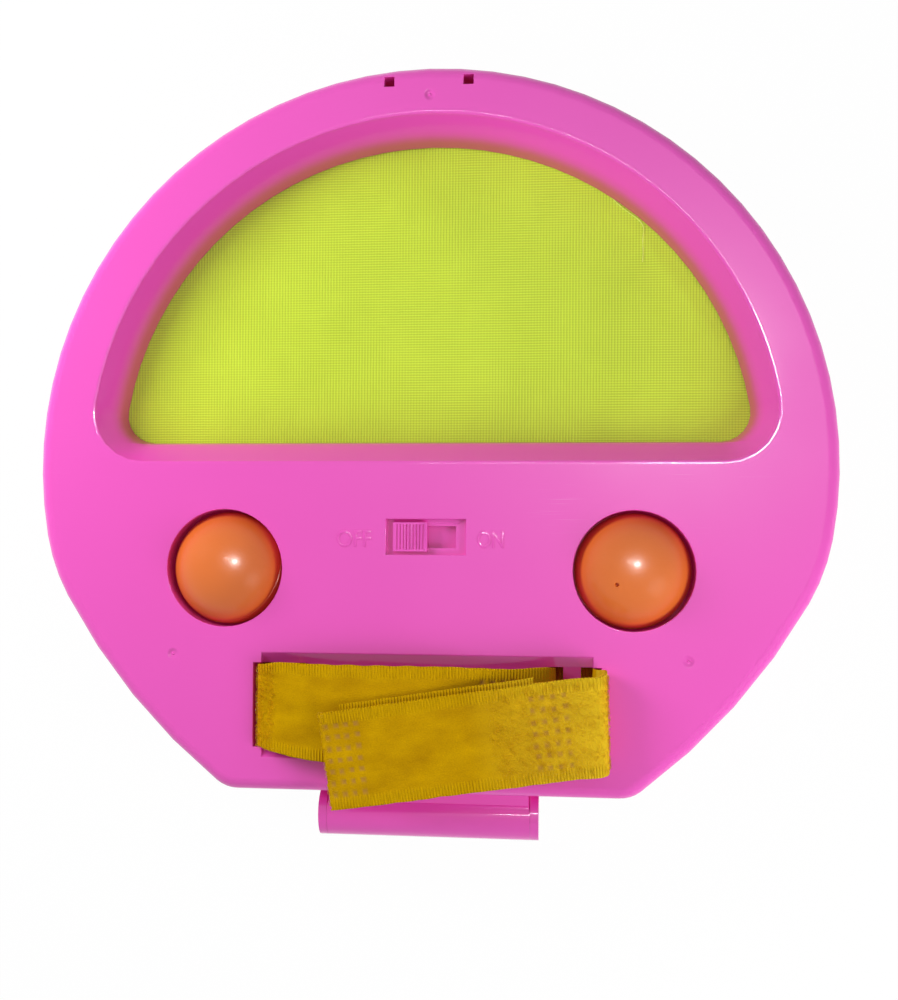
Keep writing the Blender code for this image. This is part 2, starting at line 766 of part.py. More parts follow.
dome = [(0, 0.0016), (0.002, 0.0014), (0.0036, 0.0009), (0.0044, 0.0)]
profile = [(radius, rear(board_back + FIT + depth)) for radius, depth in dome] + [(0, rear(board_back + FIT))]
finish(turned("sound_chip", profile, 0.004, SWITCH_Y - 0.001, 16), rear_half, BLACK)

# Battery: tray, three button cells, end contacts, door and its screw
cell_low = PANEL_DEPTH - FIT - CELL_HEIGHT
tray_floor = cell_low - FIT - TRAY_WALL
tray = block(
    "battery_tray",
    (-tray_half, BATTERY_Y - tray_height, rear(tray_floor)),
    (tray_half, BATTERY_Y + tray_height, rear(BOSS_DEPTH)),
)
cut(
    tray,
    block(
        "tray_hollow",
        (TRAY_WALL - tray_half, BATTERY_Y - tray_height + TRAY_WALL, rear(tray_floor + TRAY_WALL)),
        (tray_half - TRAY_WALL, BATTERY_Y + tray_height - TRAY_WALL, rear(HALF_DEPTH)),
    ),
)
finish(tray, rear_half, BLACK)
for number in (-1, 0, 1):
    x = number * (2 * CELL_RADIUS + FIT)
    low, high = (x, BATTERY_Y, rear(cell_low)), (x, BATTERY_Y, rear(cell_low + CELL_HEIGHT))
    finish(rod(f"button_cell_{number + 2}", CELL_RADIUS, low, high, 28), rear_half, STEEL)
for label, side in (("left", -1), ("right", 1)):
    near = side * (tray_half - TRAY_WALL - FIT)
    far = near - side * 0.0004
    contact = block(
        f"battery_contact_{label}",
        (near, BATTERY_Y - 0.004, rear(cell_low)),
        (far, BATTERY_Y + 0.004, rear(cell_low + CELL_HEIGHT)),
    )
    finish(contact, rear_half, BRASS)
door = plate(
    "battery_door",
    [rectangle(door_x, BATTERY_Y, door_length, door_height)],
    rear(PANEL_DEPTH),
    rear(HALF_DEPTH),
)
cut_screw_holes(door, rear, [door_screw])
finish(door, rear_half, PINK)
finish(turned("door_screw", screw_profile(rear, 0), *door_screw, 16), rear_half, STEEL)

# Speaker, facing the slots in the inner panel
mouth = BOSS_DEPTH
rows = [
    (0, mouth - 0.0034),
    (0.82 * SPEAKER_RADIUS, mouth - 0.0034),
    (0.82 * SPEAKER_RADIUS, mouth - 0.0012),
    (SPEAKER_RADIUS, mouth - 0.0012),
    (SPEAKER_RADIUS, mouth),
    (0.76 * SPEAKER_RADIUS, mouth),
    (0.76 * SPEAKER_RADIUS, mouth - 0.0026),
    (0, mouth - 0.0026),
]
profile = [(radius, rear(depth)) for radius, depth in rows]
finish(turned("speaker_frame", profile, SPEAKER_X, SPEAKER_Y, 28), rear_half, STEEL)
rows = [(0, mouth - 0.0020), (0.35 * SPEAKER_RADIUS, mouth - 0.0020), (0.73 * SPEAKER_RADIUS, mouth - 0.0008)]
rows += [(0.73 * SPEAKER_RADIUS, mouth - 0.0004), (0.35 * SPEAKER_RADIUS, mouth - 0.0016), (0, mouth - 0.0012)]
profile = [(radius, rear(depth)) for radius, depth in rows]
finish(turned("speaker_cone", profile, SPEAKER_X, SPEAKER_Y, 28), rear_half, PAPER)
low, high = mouth - 0.0034 - FIT - 0.0028, mouth - 0.0034 - FIT
ends = [(SPEAKER_X, SPEAKER_Y, rear(depth)) for depth in (low, high)]
finish(rod("speaker_magnet", 0.56 * SPEAKER_RADIUS, *ends, 24), rear_half, STEEL)

# Sensor that hears the pad being struck, on the inside of the panel
ends = [(SENSOR_X, SENSOR_Y, rear(depth)) for depth in (BOSS_DEPTH - 0.0005, BOSS_DEPTH)]
finish(rod("impact_sensor", SENSOR_RADIUS, *ends, 24), rear_half, BRASS)


# Leads between the board and the parts that it drives
def lead(name, places, material):
    """A round lead through places given as x, y and depth."""
    curve = bpy.data.curves.new(name, "CURVE")
    curve.dimensions = "3D"
    curve.bevel_depth = LEAD_RADIUS
    curve.bevel_resolution = 1
    curve.resolution_u = 3
    curve.use_fill_caps = True
    spline = curve.splines.new("BEZIER")
    spline.bezier_points.add(len(places) - 1)
    for point, (x, y, depth) in zip(spline.bezier_points, places):
        point.co = (x, y, rear(depth))
        point.handle_left_type = point.handle_right_type = "AUTO"
    made = bpy.data.objects.new(name, curve)
    bm = bmesh.new()
    bm.from_mesh(bpy.data.meshes.new_from_object(made))
    bpy.data.objects.remove(made)
    return finish(mesh_piece(name, bm), rear_half, material)


solder = board_back + FIT + LEAD_RADIUS
beside = tray_half + FIT + LEAD_RADIUS
board_low = SWITCH_Y - BOARD_WIDTH / 2
lead(
    "battery_lead_red",
    [
        (-beside, BATTERY_Y + 0.002, 0.009),
        (-beside - 0.0006, BATTERY_Y + 0.0065, 0.009),
        (-BOARD_LENGTH / 2 + 0.002, board_low + 0.002, solder),
        (-BOARD_LENGTH / 2 + 0.005, board_low + 0.004, solder),
    ],
    RED,
)
lead(
    "battery_lead_black",
    [
        (beside, BATTERY_Y + 0.005, 0.009),
        (beside + 0.0002, BATTERY_Y + 0.008, 0.009),
        (BOARD_LENGTH / 2 - 0.0025, board_low + 0.002, solder),
        (BOARD_LENGTH / 2 - 0.0055, board_low + 0.004, solder),
    ],
    BLACK,
)
mouth_x, mouth_y = SPEAKER_X - 0.72 * SPEAKER_RADIUS, SPEAKER_Y + 0.56 * SPEAKER_RADIUS
for label, shift, material in (("red", 0.0, RED), ("black", -0.0016, BLACK)):
    lead(
        "speaker_lead_" + label,
        [
            (mouth_x - 0.0016 + shift, mouth_y + 0.0014 + shift, 0.0095),
            (0.040 + shift, -0.0398 + shift, 0.0095),
            (0.028 + shift, -0.0266 + shift, solder + 0.0006),
            (BOARD_LENGTH / 2 - 0.004 + shift, SWITCH_Y + 0.003 + 1.4 * shift, solder),
        ],
        material,
    )
lead(
    "sensor_lead",
    [
        (SENSOR_X + SENSOR_RADIUS + 0.0011, SENSOR_Y - 0.0015, 0.0110),
        (SENSOR_X + SENSOR_RADIUS + 0.0006, SENSOR_Y - 0.0065, 0.0100),
        (-BOARD_LENGTH / 2 + 0.002, SWITCH_Y + 0.001, solder),
        (-BOARD_LENGTH / 2 + 0.006, SWITCH_Y + 0.0005, solder),
    ],
    BLACK,
)

# Hand strap: one band, looped round the left bar, over the hollow, round the right bar and back on
# itself. Each station is x, y, height over the face, width and the turn of its width from Y.
slot_in = (STRAP_SLOT_INNER + STRAP_BAR_INNER) / 2 - 0.0003
slot_out = (STRAP_BAR_OUTER + STRAP_SLOT_OUTER) / 2 + 0.0008
bar = (STRAP_BAR_INNER + STRAP_BAR_OUTER) / 2
under = HOLLOW_DEPTH + WALL + STRAP_THICKNESS / 2 + 3 * FIT
drop = 0.7 * under
narrow = STRAP_SLOT_HEIGHT - 2 * FIT
band_y, tail_y = HOLLOW_Y - 0.0012, HOLLOW_Y - 0.0030
over = STRAP_ARCH + STRAP_THICKNESS + FIT
stations = [
    (-slot_in, HOLLOW_Y, -0.0005, narrow, 0),
    (-slot_in, HOLLOW_Y, -drop, narrow, 0),
    (-slot_in - 0.0015, HOLLOW_Y, -under + 0.0004, narrow, 0),
    (-bar, HOLLOW_Y, -under, narrow, 0),
    (-slot_out + 0.0012, HOLLOW_Y, -under + 0.0004, narrow, 0),
    (-slot_out, HOLLOW_Y, -drop, narrow, 0),
    (-slot_out, HOLLOW_Y, -0.0010, narrow, 0),
    (-slot_out + 0.0008, HOLLOW_Y, 0.0014, narrow, 0),
    (-bar, HOLLOW_Y - 0.0003, 0.45 * STRAP_ARCH, 0.94 * STRAP_WIDTH, 0),
    (-0.80 * slot_in, band_y, 0.78 * STRAP_ARCH, STRAP_WIDTH, 0),
    (-0.35 * slot_in, band_y, STRAP_ARCH, STRAP_WIDTH, 0),
    (0.20 * slot_in, band_y, 0.97 * STRAP_ARCH, STRAP_WIDTH, 0),
    (0.66 * slot_in, band_y, 0.68 * STRAP_ARCH, 0.96 * STRAP_WIDTH, 0),
    (0.93 * slot_in, HOLLOW_Y, 0.25 * STRAP_ARCH, 0.90 * STRAP_WIDTH, 0),
    (slot_in, HOLLOW_Y, -0.0020, narrow, 0),
    (slot_in, HOLLOW_Y, -drop, narrow, 0),
    (slot_in + 0.0015, HOLLOW_Y, -under + 0.0004, narrow, 0),
    (bar, HOLLOW_Y, -under, narrow, 0),
    (slot_out - 0.0012, HOLLOW_Y, -under + 0.0004, narrow, 0),
    (slot_out, HOLLOW_Y, -drop, narrow, 0),
    (slot_out + 0.0002, HOLLOW_Y, -0.0010, narrow, 0),
    (slot_out + 0.0010, HOLLOW_Y, 0.0008, narrow, 0),
    (slot_out + 0.0024, HOLLOW_Y - 0.0010, 0.0030, 0.95 * STRAP_WIDTH, -1),
    (slot_out + 0.0028, tail_y + 0.0008, 0.0056, STRAP_WIDTH, -2),
    (slot_out + 0.0008, tail_y, over - 0.0002, STRAP_WIDTH, -4),
    (bar - 0.0005, tail_y - 0.0006, over + 0.0006, STRAP_WIDTH, -7),
    (0.66 * slot_in, tail_y - 0.0030, over + 0.0008, STRAP_WIDTH, -8.5),
    (0.20 * slot_in, tail_y - 0.0053, over + 0.0008, STRAP_WIDTH, -8.5),
    (-0.35 * slot_in, tail_y - 0.0082, over + 0.0008, STRAP_WIDTH, -8.5),
    (-0.745 * slot_in, tail_y - 0.0103, over - 0.0004, STRAP_WIDTH, -8.5),
]


def smoothed(rows, steps):
    """Rows joined by a smooth curve through them."""
    padded = [rows[0]] + rows + [rows[-1]]
    found = []
    for a, b, c, d in zip(padded, padded[1:], padded[2:], padded[3:]):
        for step in range(steps):
            t = step / steps
            found.append(
                tuple(
                    q + 0.5 * t * (r - p + t * (2 * p - 5 * q + 4 * r - s + t * (3 * (q - r) + s - p)))
                    for p, q, r, s in zip(a, b, c, d)
                )
            )
    return found + [tuple(rows[-1])]


rows = smoothed(stations, 2)
centres = [Vector((x, y, rear(-height))) for x, y, height, width, turn in rows]
sections = []
for here, (x, y, height, width, turn) in enumerate(rows):
    along = centres[min(here + 1, len(rows) - 1)] - centres[max(here - 1, 0)]
    across = Vector((math.sin(math.radians(turn)), math.cos(math.radians(turn)), 0))
    thick = along.cross(across).normalized() * STRAP_THICKNESS / 2
    across = across * width / 2
    centre = centres[here]
    sections.append(
        [centre - across - thick, centre + across - thick, centre + across + thick, centre - across + thick]
    )
finish(loft("hand_strap", sections), rear_half, YELLOW)
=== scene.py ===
import bisect
import json
import math
import random

import bmesh
import bpy
from mathutils import Matrix, Vector, noise


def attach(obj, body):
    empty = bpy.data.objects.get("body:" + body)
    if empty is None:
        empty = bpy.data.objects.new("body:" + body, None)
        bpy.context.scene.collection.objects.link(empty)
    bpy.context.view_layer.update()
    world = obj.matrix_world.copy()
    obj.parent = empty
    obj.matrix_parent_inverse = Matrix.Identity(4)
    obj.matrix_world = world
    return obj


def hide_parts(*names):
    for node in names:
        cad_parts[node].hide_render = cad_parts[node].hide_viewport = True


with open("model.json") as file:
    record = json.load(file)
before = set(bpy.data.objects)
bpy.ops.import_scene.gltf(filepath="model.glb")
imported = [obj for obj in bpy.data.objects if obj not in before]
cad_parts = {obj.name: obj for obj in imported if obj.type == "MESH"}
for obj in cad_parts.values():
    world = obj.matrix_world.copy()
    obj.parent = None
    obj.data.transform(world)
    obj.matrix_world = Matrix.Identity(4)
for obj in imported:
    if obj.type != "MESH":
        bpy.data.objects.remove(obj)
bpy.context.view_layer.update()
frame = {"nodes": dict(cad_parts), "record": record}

# Floor, light and camera: the toy lies on plain white between two soft windows, with a small lamp and a
# long one beside the camera, which show only in its gloss. It is seen from above. The camera's tilt and shift
# are fitted to points measured in the photograph.
scene = bpy.context.scene
scene.view_settings.view_transform = "Standard"
FLOOR_HALF = 4.0
FLOOR_DROP = 0.0003
FLOOR_DIM = (0.93, 0.93, 0.93, 1)
FLOOR_PALE = (0.95, 0.95, 0.95, 1)
WHITE_SHARE = 0.98
ROOM_LIGHT = 0.33


def place_node(tree, kind, inputs, **settings):
    """A shader node with its settings made and its inputs set or linked."""
    made = tree.nodes.new(kind)
    for setting, value in settings.items():
        setattr(made, setting, value)
    for socket, value in inputs.items():
        if isinstance(value, bpy.types.NodeSocket):
            tree.links.new(value, made.inputs[socket])
        else:
            made.inputs[socket].default_value = value
    return made


def new_material(name, **constants):
    """A material, its node tree and its shader, with the shader's plain sockets set."""
    material = bpy.data.materials.new(name)
    material.use_nodes = True
    shader = material.node_tree.nodes["Principled BSDF"]
    for socket, value in constants.items():
        shader.inputs[socket.replace("_", " ")].default_value = value
    return material, material.node_tree, shader


floor_bm = bmesh.new()
bmesh.ops.create_grid(floor_bm, x_segments=1, y_segments=1, size=FLOOR_HALF)
bmesh.ops.translate(floor_bm, verts=floor_bm.verts, vec=(0, 0, -FLOOR_DROP))
floor_mesh = bpy.data.meshes.new("floor")
floor_bm.to_mesh(floor_mesh)
floor_bm.free()
floor_paint, floor_tree, floor_shader = new_material("white_floor", Roughness=0.9)
floor_shade = place_node(floor_tree, "ShaderNodeTexNoise", {"Scale": 3.0, "Detail": 1.0})
floor_mix = place_node(
    floor_tree,
    "ShaderNodeMix",
    {0: floor_shade.outputs["Fac"], 6: FLOOR_DIM, 7: FLOOR_PALE},
    data_type="RGBA",
)
floor_tree.links.new(floor_mix.outputs[2], floor_shader.inputs["Base Color"])


def seen_rays(tree):
    """A socket that is 1 where the camera, a gloss or a clear piece sees the surface, and 0 elsewhere."""
    rays = place_node(tree, "ShaderNodeLightPath", {}).outputs
    seen = rays["Is Camera Ray"]
    for ray in ("Is Glossy Ray", "Is Transmission Ray"):
        seen = place_node(tree, "ShaderNodeMath", {0: seen, 1: rays[ray]}, operation="MAXIMUM").outputs[0]
    return seen


white_share = place_node(
    floor_tree, "ShaderNodeMath", {0: seen_rays(floor_tree), 1: WHITE_SHARE}, operation="MULTIPLY"
)
white = place_node(floor_tree, "ShaderNodeEmission", {"Color": (1, 1, 1, 1), "Strength": 1.0})
floor_look = place_node(
    floor_tree,
    "ShaderNodeMixShader",
    {0: white_share.outputs[0], 1: floor_shader.outputs[0], 2: white.outputs[0]},
)
floor_tree.links.new(floor_look.outputs[0], floor_tree.nodes["Material Output"].inputs["Surface"])
floor_mesh.materials.append(floor_paint)
floor = bpy.data.objects.new("floor", floor_mesh)
scene.collection.objects.link(floor)

room = bpy.data.worlds.new("white_room")
room.use_nodes = True
room.node_tree.nodes["Background"].inputs["Color"].default_value = (1.0, 1.0, 1.0, 1)
room_level = place_node(
    room.node_tree,
    "ShaderNodeMapRange",
    {"Value": seen_rays(room.node_tree), "To Min": ROOM_LIGHT, "To Max": 1.0},
)
room.node_tree.links.new(room_level.outputs[0], room.node_tree.nodes["Background"].inputs["Strength"])
scene.world = room


def soft_light(name, place, size, power, shines, glints):
    """A soft box that faces the toy, to light it, to show in its gloss, or both."""
    data = bpy.data.lights.new(name, "AREA")
    data.shape = "RECTANGLE"
    data.size, data.size_y = size
    data.energy = power
    made = bpy.data.objects.new(name, data)
    made.location = place
    made.rotation_euler = (-Vector(place)).to_track_quat("-Z", "Y").to_euler()
    made.visible_diffuse = shines
    made.visible_glossy = glints
    scene.collection.objects.link(made)


soft_light("hand_lamp", (0.104, 0.073, 0.450), (0.042, 0.060), 1.5, shines=False, glints=True)
soft_light("left_window", (-0.27, 0.12, 0.20), (0.16, 0.16), 0.86, shines=True, glints=False)
soft_light("right_window", (0.26, -0.17, 0.20), (0.16, 0.16), 0.62, shines=True, glints=False)
soft_light("lamp_bar", (0.0325, 0.104, 0.450), (0.185, 0.022), 0.50, shines=False, glints=True)

camera_data = bpy.data.cameras.new("photo_camera")
camera_data.sensor_fit = "VERTICAL"
camera_data.sensor_height = 36.0
camera_data.lens = 49.858
camera_data.shift_x = 0.0583
camera_data.shift_y = 0.0508
camera_data.clip_start = 0.01
camera = bpy.data.objects.new("photo_camera", camera_data)
camera.location = (0.03571, -0.02609, 0.38682)
camera.rotation_euler = (0.00506, 0.125, 0.0071)
scene.collection.objects.link(camera)
scene.camera = camera

# Case halves: two glossy pink shells, injection moulded, with a funnel round each pad, holes for the
# balls, a switch recess, a finger hollow and the hinge, whose barrel ends in low bosses. Three gate marks
# show on the strap side.
FACE = 0.0305
RIM_Y = -0.0030
GATE_MARKS = ((0.0003, 0.0966), (-0.0669, -0.0491), (0.0669, -0.0491))
WINDOW_RISE = 0.0017
WINDOW_REACH = 0.0914
SILL_TOP = 0.004
LIP_ROUND = 0.0013
LIP_STEPS = 7
EDGE_ROUND = 0.00022
EDGE_STEPS = 2
EDGE_ANGLE = 25
LEVEL_GAP = 0.00001
WELD_DISTANCE = 0.000002
BARREL_END = 0.0267
BARREL_TOP = -0.083
BARREL_GAP = 0.00002
BOSS_HEIGHT = 0.00034
BOSS_STEP = 0.00040
GATE_RADIUS = 0.00038
GATE_SINK = 0.00005
RUBBED_PLACE = (0.060, -0.011)
RUBBED_REACH = (0.045, 0.010)
PINK = (0.86, 0.092, 0.560, 1)
PINK_SHADE = (0.82, 0.080, 0.515, 1)
PINK_SCUFF = (0.95, 0.46, 0.82, 1)
# Painted reflection: a brownish tint for the window wall near the pad, standing in for the pad's colour
# reflected onto it.
PAINTED_PAD_REFLECTION = (0.50, 0.120, 0.080, 1)
# Painted glow: a faint dark red emission that lightens the pink's shade.
PINK_PAINTED_GLOW = (0.034, 0.001, 0.006, 1)


def welded_copy(node):
    """The node's solid with its loose triangles joined and its flat faces made whole."""
    bm = bmesh.new()
    bm.from_mesh(frame["nodes"][node].data)
    bmesh.ops.remove_doubles(bm, verts=bm.verts, dist=WELD_DISTANCE)
    bmesh.ops.dissolve_limit(
        bm, angle_limit=math.radians(0.5), use_dissolve_boundaries=False, verts=bm.verts, edges=bm.edges
    )
    return bm


def soften(bm, level):
    """Rounds the lip of the window, and takes the sharpness off the other edges of the outer face."""
    lip, others = [], []
    for e in bm.edges:
        if len(e.link_faces) != 2 or any(abs(v.co.z - level) > LEVEL_GAP for v in e.verts):
            continue
        if e.calc_face_angle(0.0) < math.radians(EDGE_ANGLE):
            continue
        middle = (e.verts[0].co + e.verts[1].co) / 2
        reach = math.hypot(middle.x, middle.y - RIM_Y - WINDOW_RISE)
        at_window = middle.y > RIM_Y and reach < WINDOW_REACH
        (lip if at_window else others).append(e)
    for edges, size, steps in ((lip, LIP_ROUND, LIP_STEPS), (others, EDGE_ROUND, EDGE_STEPS)):
        bmesh.ops.bevel(
            bm,
            geom=[e for e in edges if e.is_valid],
            offset=size,
            offset_type="OFFSET",
            segments=steps,
            profile=0.5,
            affect="EDGES",
            clamp_overlap=True,
            material=-1,
        )
    return bm


def add_piece(name, bm, material, body, nodes=(), sharp=34.0, level=False):
    """A finished piece that rides on a body and stands for the named nodes."""
    mesh = bpy.data.meshes.new(name)
    bm.to_mesh(mesh)
    bm.free()
    mesh.materials.append(material)
    mesh.shade_smooth()
    mesh.set_sharp_from_angle(angle=math.radians(sharp))
    made = bpy.data.objects.new(name, mesh)
    scene.collection.objects.link(made)
    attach(made, body)
    if nodes:
        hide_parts(*nodes)
    if level:
        flats = made.modifiers.new("level_faces", "WEIGHTED_NORMAL")
        flats.keep_sharp = True
        flats.weight = 100
    return made


def new_group(name, sockets):
    """A shader node group with the named inputs and outputs."""
    group = bpy.data.node_groups.new(name, "ShaderNodeTree")
    for label, side, kind in sockets:
        group.interface.new_socket(name=label, in_out=side, socket_type=kind)
    return group, group.nodes.new("NodeGroupInput"), group.nodes.new("NodeGroupOutput")


moulded, entry, result = new_group(
    "moulded_surface",
    (
        ("Colour", "INPUT", "NodeSocketColor"),
        ("Shade", "INPUT", "NodeSocketColor"),
        ("Scuff", "INPUT", "NodeSocketColor"),
        ("Wear", "INPUT", "NodeSocketFloat"),
        ("Color", "OUTPUT", "NodeSocketColor"),
        ("Roughness", "OUTPUT", "NodeSocketFloat"),
        ("Height", "OUTPUT", "NodeSocketFloat"),
    ),
)
where = place_node(moulded, "ShaderNodeTexCoord", {}).outputs["Object"]
clouds = place_node(moulded, "ShaderNodeTexNoise", {"Vector": where, "Scale": 14.0, "Detail": 3.0})
tone = place_node(
    moulded,
    "ShaderNodeMix",
    {0: clouds.outputs["Fac"], 6: entry.outputs["Shade"], 7: entry.outputs["Colour"]},
    data_type="RGBA",
)
turned_way = place_node(
    moulded, "ShaderNodeMapping", {"Vector": where, "Rotation": (0, 0, 0.03), "Scale": (60.0, 4200.0, 60.0)}
)
lines = place_node(
    moulded, "ShaderNodeTexNoise", {"Vector": turned_way.outputs["Vector"], "Scale": 1.0, "Detail": 2.0}
)
hairlines = place_node(
    moulded,
    "ShaderNodeMapRange",
    {"Value": lines.outputs["Fac"], "From Min": 0.60, "From Max": 0.72, "To Min": 0.0, "To Max": 1.0},
)
patches = place_node(moulded, "ShaderNodeTexNoise", {"Vector": where, "Scale": 26.0, "Detail": 2.0})
patch_mask = place_node(
    moulded,
    "ShaderNodeMapRange",
    {"Value": patches.outputs["Fac"], "From Min": 0.52, "From Max": 0.70, "To Min": 0.0, "To Max": 1.0},
)
scuffs = place_node(
    moulded, "ShaderNodeMath", {0: hairlines.outputs[0], 1: patch_mask.outputs[0]}, operation="MULTIPLY"
)
worn = place_node(
    moulded, "ShaderNodeMath", {0: scuffs.outputs[0], 1: entry.outputs["Wear"]}, operation="MULTIPLY"
)
finish_colour = place_node(
    moulded,
    "ShaderNodeMix",
    {0: worn.outputs[0], 6: tone.outputs[2], 7: entry.outputs["Scuff"]},
    data_type="RGBA",
)
grain = place_node(moulded, "ShaderNodeTexNoise", {"Vector": where, "Scale": 900.0, "Detail": 2.0})
gloss = place_node(
    moulded,
    "ShaderNodeMapRange",
    {"Value": patches.outputs["Fac"], "From Min": 0.3, "From Max": 0.7, "To Min": 0.30, "To Max": 0.40},
)
moulded.links.new(finish_colour.outputs[2], result.inputs["Color"])
moulded.links.new(gloss.outputs[0], result.inputs["Roughness"])
moulded.links.new(grain.outputs["Fac"], result.inputs["Height"])


def moulded_plastic(name, colour, shade, scuff, wear, grain_depth=0.00002, coat=0.0):
    """Plastic from a mould: slight flow clouds, a fine grain, a few hairline scuffs and a mould polish."""
    material, tree, shader = new_material(
        name, IOR=1.5, Specular_IOR_Level=0.12, Coat_Weight=coat, Coat_Roughness=0.065
    )
    surface = place_node(tree, "ShaderNodeGroup", {})
    surface.node_tree = moulded
    for socket, value in (("Colour", colour), ("Shade", shade), ("Scuff", scuff), ("Wear", wear)):
        surface.inputs[socket].default_value = value
    bump = place_node(
        tree,
        "ShaderNodeBump",
        {"Height": surface.outputs["Height"], "Strength": 0.25, "Distance": grain_depth},
    )
    tree.links.new(surface.outputs["Color"], shader.inputs["Base Color"])
    tree.links.new(surface.outputs["Roughness"], shader.inputs["Roughness"])
    tree.links.new(bump.outputs["Normal"], shader.inputs["Normal"])
    return material, tree, shader, bump


pink_inner, *_ = moulded_plastic("pink_plastic_inner", PINK, PINK_SHADE, PINK_SCUFF, 0.05, coat=0.5)
pink_outer, pink_tree, pink_shader, pink_bump = moulded_plastic(
    "pink_plastic_outer", PINK, PINK_SHADE, PINK_SCUFF, 0.05, coat=0.7
)
case_place = place_node(pink_tree, "ShaderNodeTexCoord", {}).outputs["Object"]
rubbed_place = place_node(
    pink_tree,
    "ShaderNodeMapping",
    {
        "Vector": case_place,
        "Location": (-RUBBED_PLACE[0] / RUBBED_REACH[0], -RUBBED_PLACE[1] / RUBBED_REACH[1], 0),
        "Scale": (1 / RUBBED_REACH[0], 1 / RUBBED_REACH[1], 1),
    },
)
rubbed_reach = place_node(
    pink_tree, "ShaderNodeVectorMath", {0: rubbed_place.outputs["Vector"]}, operation="LENGTH"
)
rubbed = place_node(
    pink_tree,
    "ShaderNodeMapRange",
    {
        "Value": rubbed_reach.outputs["Value"],
        "From Min": 0.4,
        "From Max": 1.2,
        "To Min": 0.50,
        "To Max": 0.02,
    },
)
rubbed_node = next(n for n in pink_tree.nodes if n.type == "GROUP")
pink_tree.links.new(rubbed.outputs[0], rubbed_node.inputs["Wear"])
marks = 0.0
for mark_x, mark_y in GATE_MARKS:
    reach = place_node(
        pink_tree,
        "ShaderNodeVectorMath",
        {0: case_place, 1: (mark_x, mark_y + RIM_Y, FACE)},
        operation="DISTANCE",
    )
    dish = place_node(
        pink_tree,
        "ShaderNodeMapRange",
        {
            "Value": reach.outputs["Value"],
            "From Min": 0.0004,
            "From Max": 0.0016,
            "To Min": 1.0,
            "To Max": 0.0,
        },
        interpolation_type="SMOOTHSTEP",
    )
    added = place_node(pink_tree, "ShaderNodeMath", {0: dish.outputs[0], 1: marks}, operation="ADD")
    marks = added.outputs[0]
mark_bump = place_node(
    pink_tree,
    "ShaderNodeBump",
    {"Height": marks, "Strength": 0.9, "Distance": 0.0005, "Normal": pink_bump.outputs["Normal"]},
    invert=True,
)
pink_tree.links.new(mark_bump.outputs["Normal"], pink_shader.inputs["Normal"])

# Painted reflection: the window wall above the sill turns brownish towards the pad, painting in the pad's
# colour that the glossy wall reflects.
case_split = place_node(pink_tree, "ShaderNodeSeparateXYZ", {0: case_place})
above_parting = place_node(
    pink_tree, "ShaderNodeMath", {0: case_split.outputs["Z"], 1: FACE / 2}, operation="SUBTRACT"
)
wall_depth = place_node(pink_tree, "ShaderNodeMath", {0: above_parting.outputs[0]}, operation="ABSOLUTE")
near_pad = place_node(
    pink_tree,
    "ShaderNodeMapRange",
    {"Value": wall_depth.outputs[0], "From Min": 0.0060, "From Max": 0.0112, "To Min": 0.80, "To Max": 0.0},
    interpolation_type="SMOOTHSTEP",
)
in_plan = place_node(pink_tree, "ShaderNodeVectorMath", {0: case_place, 1: (1, 1, 0)}, operation="MULTIPLY")
window_reach = place_node(
    pink_tree,
    "ShaderNodeVectorMath",
    {0: in_plan.outputs["Vector"], 1: (0, RIM_Y + WINDOW_RISE, 0)},
    operation="DISTANCE",
)
in_window = place_node(
    pink_tree, "ShaderNodeMath", {0: window_reach.outputs["Value"], 1: WINDOW_REACH}, operation="LESS_THAN"
)
over_sill = place_node(
    pink_tree, "ShaderNodeMath", {0: case_split.outputs["Y"], 1: SILL_TOP}, operation="GREATER_THAN"
)
wall_mask = place_node(
    pink_tree, "ShaderNodeMath", {0: in_window.outputs[0], 1: over_sill.outputs[0]}, operation="MULTIPLY"
)
painted_reflection_share = place_node(
    pink_tree, "ShaderNodeMath", {0: near_pad.outputs[0], 1: wall_mask.outputs[0]}, operation="MULTIPLY"
)
painted_reflection_tone = place_node(
    pink_tree,
    "ShaderNodeMix",
    {0: painted_reflection_share.outputs[0], 6: rubbed_node.outputs["Color"], 7: PAINTED_PAD_REFLECTION},
    data_type="RGBA",
)
pink_tree.links.new(painted_reflection_tone.outputs[2], pink_shader.inputs["Base Color"])
# Painted glow: both pink plastics glow faintly dark red, which lightens their shade in gaps and holes.
for pink in (pink_inner, pink_outer):
    pink_look = pink.node_tree.nodes["Principled BSDF"]
    pink_look.inputs["Emission Color"].default_value = PINK_PAINTED_GLOW
    pink_look.inputs["Emission Strength"].default_value = 1.0

rear_bm = soften(welded_copy("rear_shell"), FACE)
barrel_ends = []
for f in rear_bm.faces:
    if all(abs(abs(v.co.x) - BARREL_END) < BARREL_GAP and v.co.y < BARREL_TOP for v in f.verts):
        barrel_ends.append(f)
bmesh.ops.inset_region(
    rear_bm, faces=barrel_ends, thickness=BOSS_STEP, use_boundary=True, use_even_offset=True
)
for v in {v for f in barrel_ends for v in f.verts}:
    v.co.x += math.copysign(BOSS_HEIGHT, v.co.x)
front_bm = soften(welded_copy("front_shell"), 0.0)
add_piece("rear_case", rear_bm, pink_outer, "rear_half", ["rear_shell"], level=True)
add_piece("front_case", front_bm, pink_outer, "front_half", ["front_shell"], level=True)

gate_bm = bmesh.new()
for mark_x, mark_y in GATE_MARKS:
    made = bmesh.ops.create_uvsphere(gate_bm, u_segments=16, v_segments=10, radius=GATE_RADIUS)
    bmesh.ops.scale(gate_bm, verts=made["verts"], vec=(1, 1, 0.8))
    bmesh.ops.translate(gate_bm, verts=made["verts"], vec=(mark_x, mark_y + RIM_Y, FACE - GATE_SINK))
add_piece("gate_nubs", gate_bm, pink_inner, "rear_half")

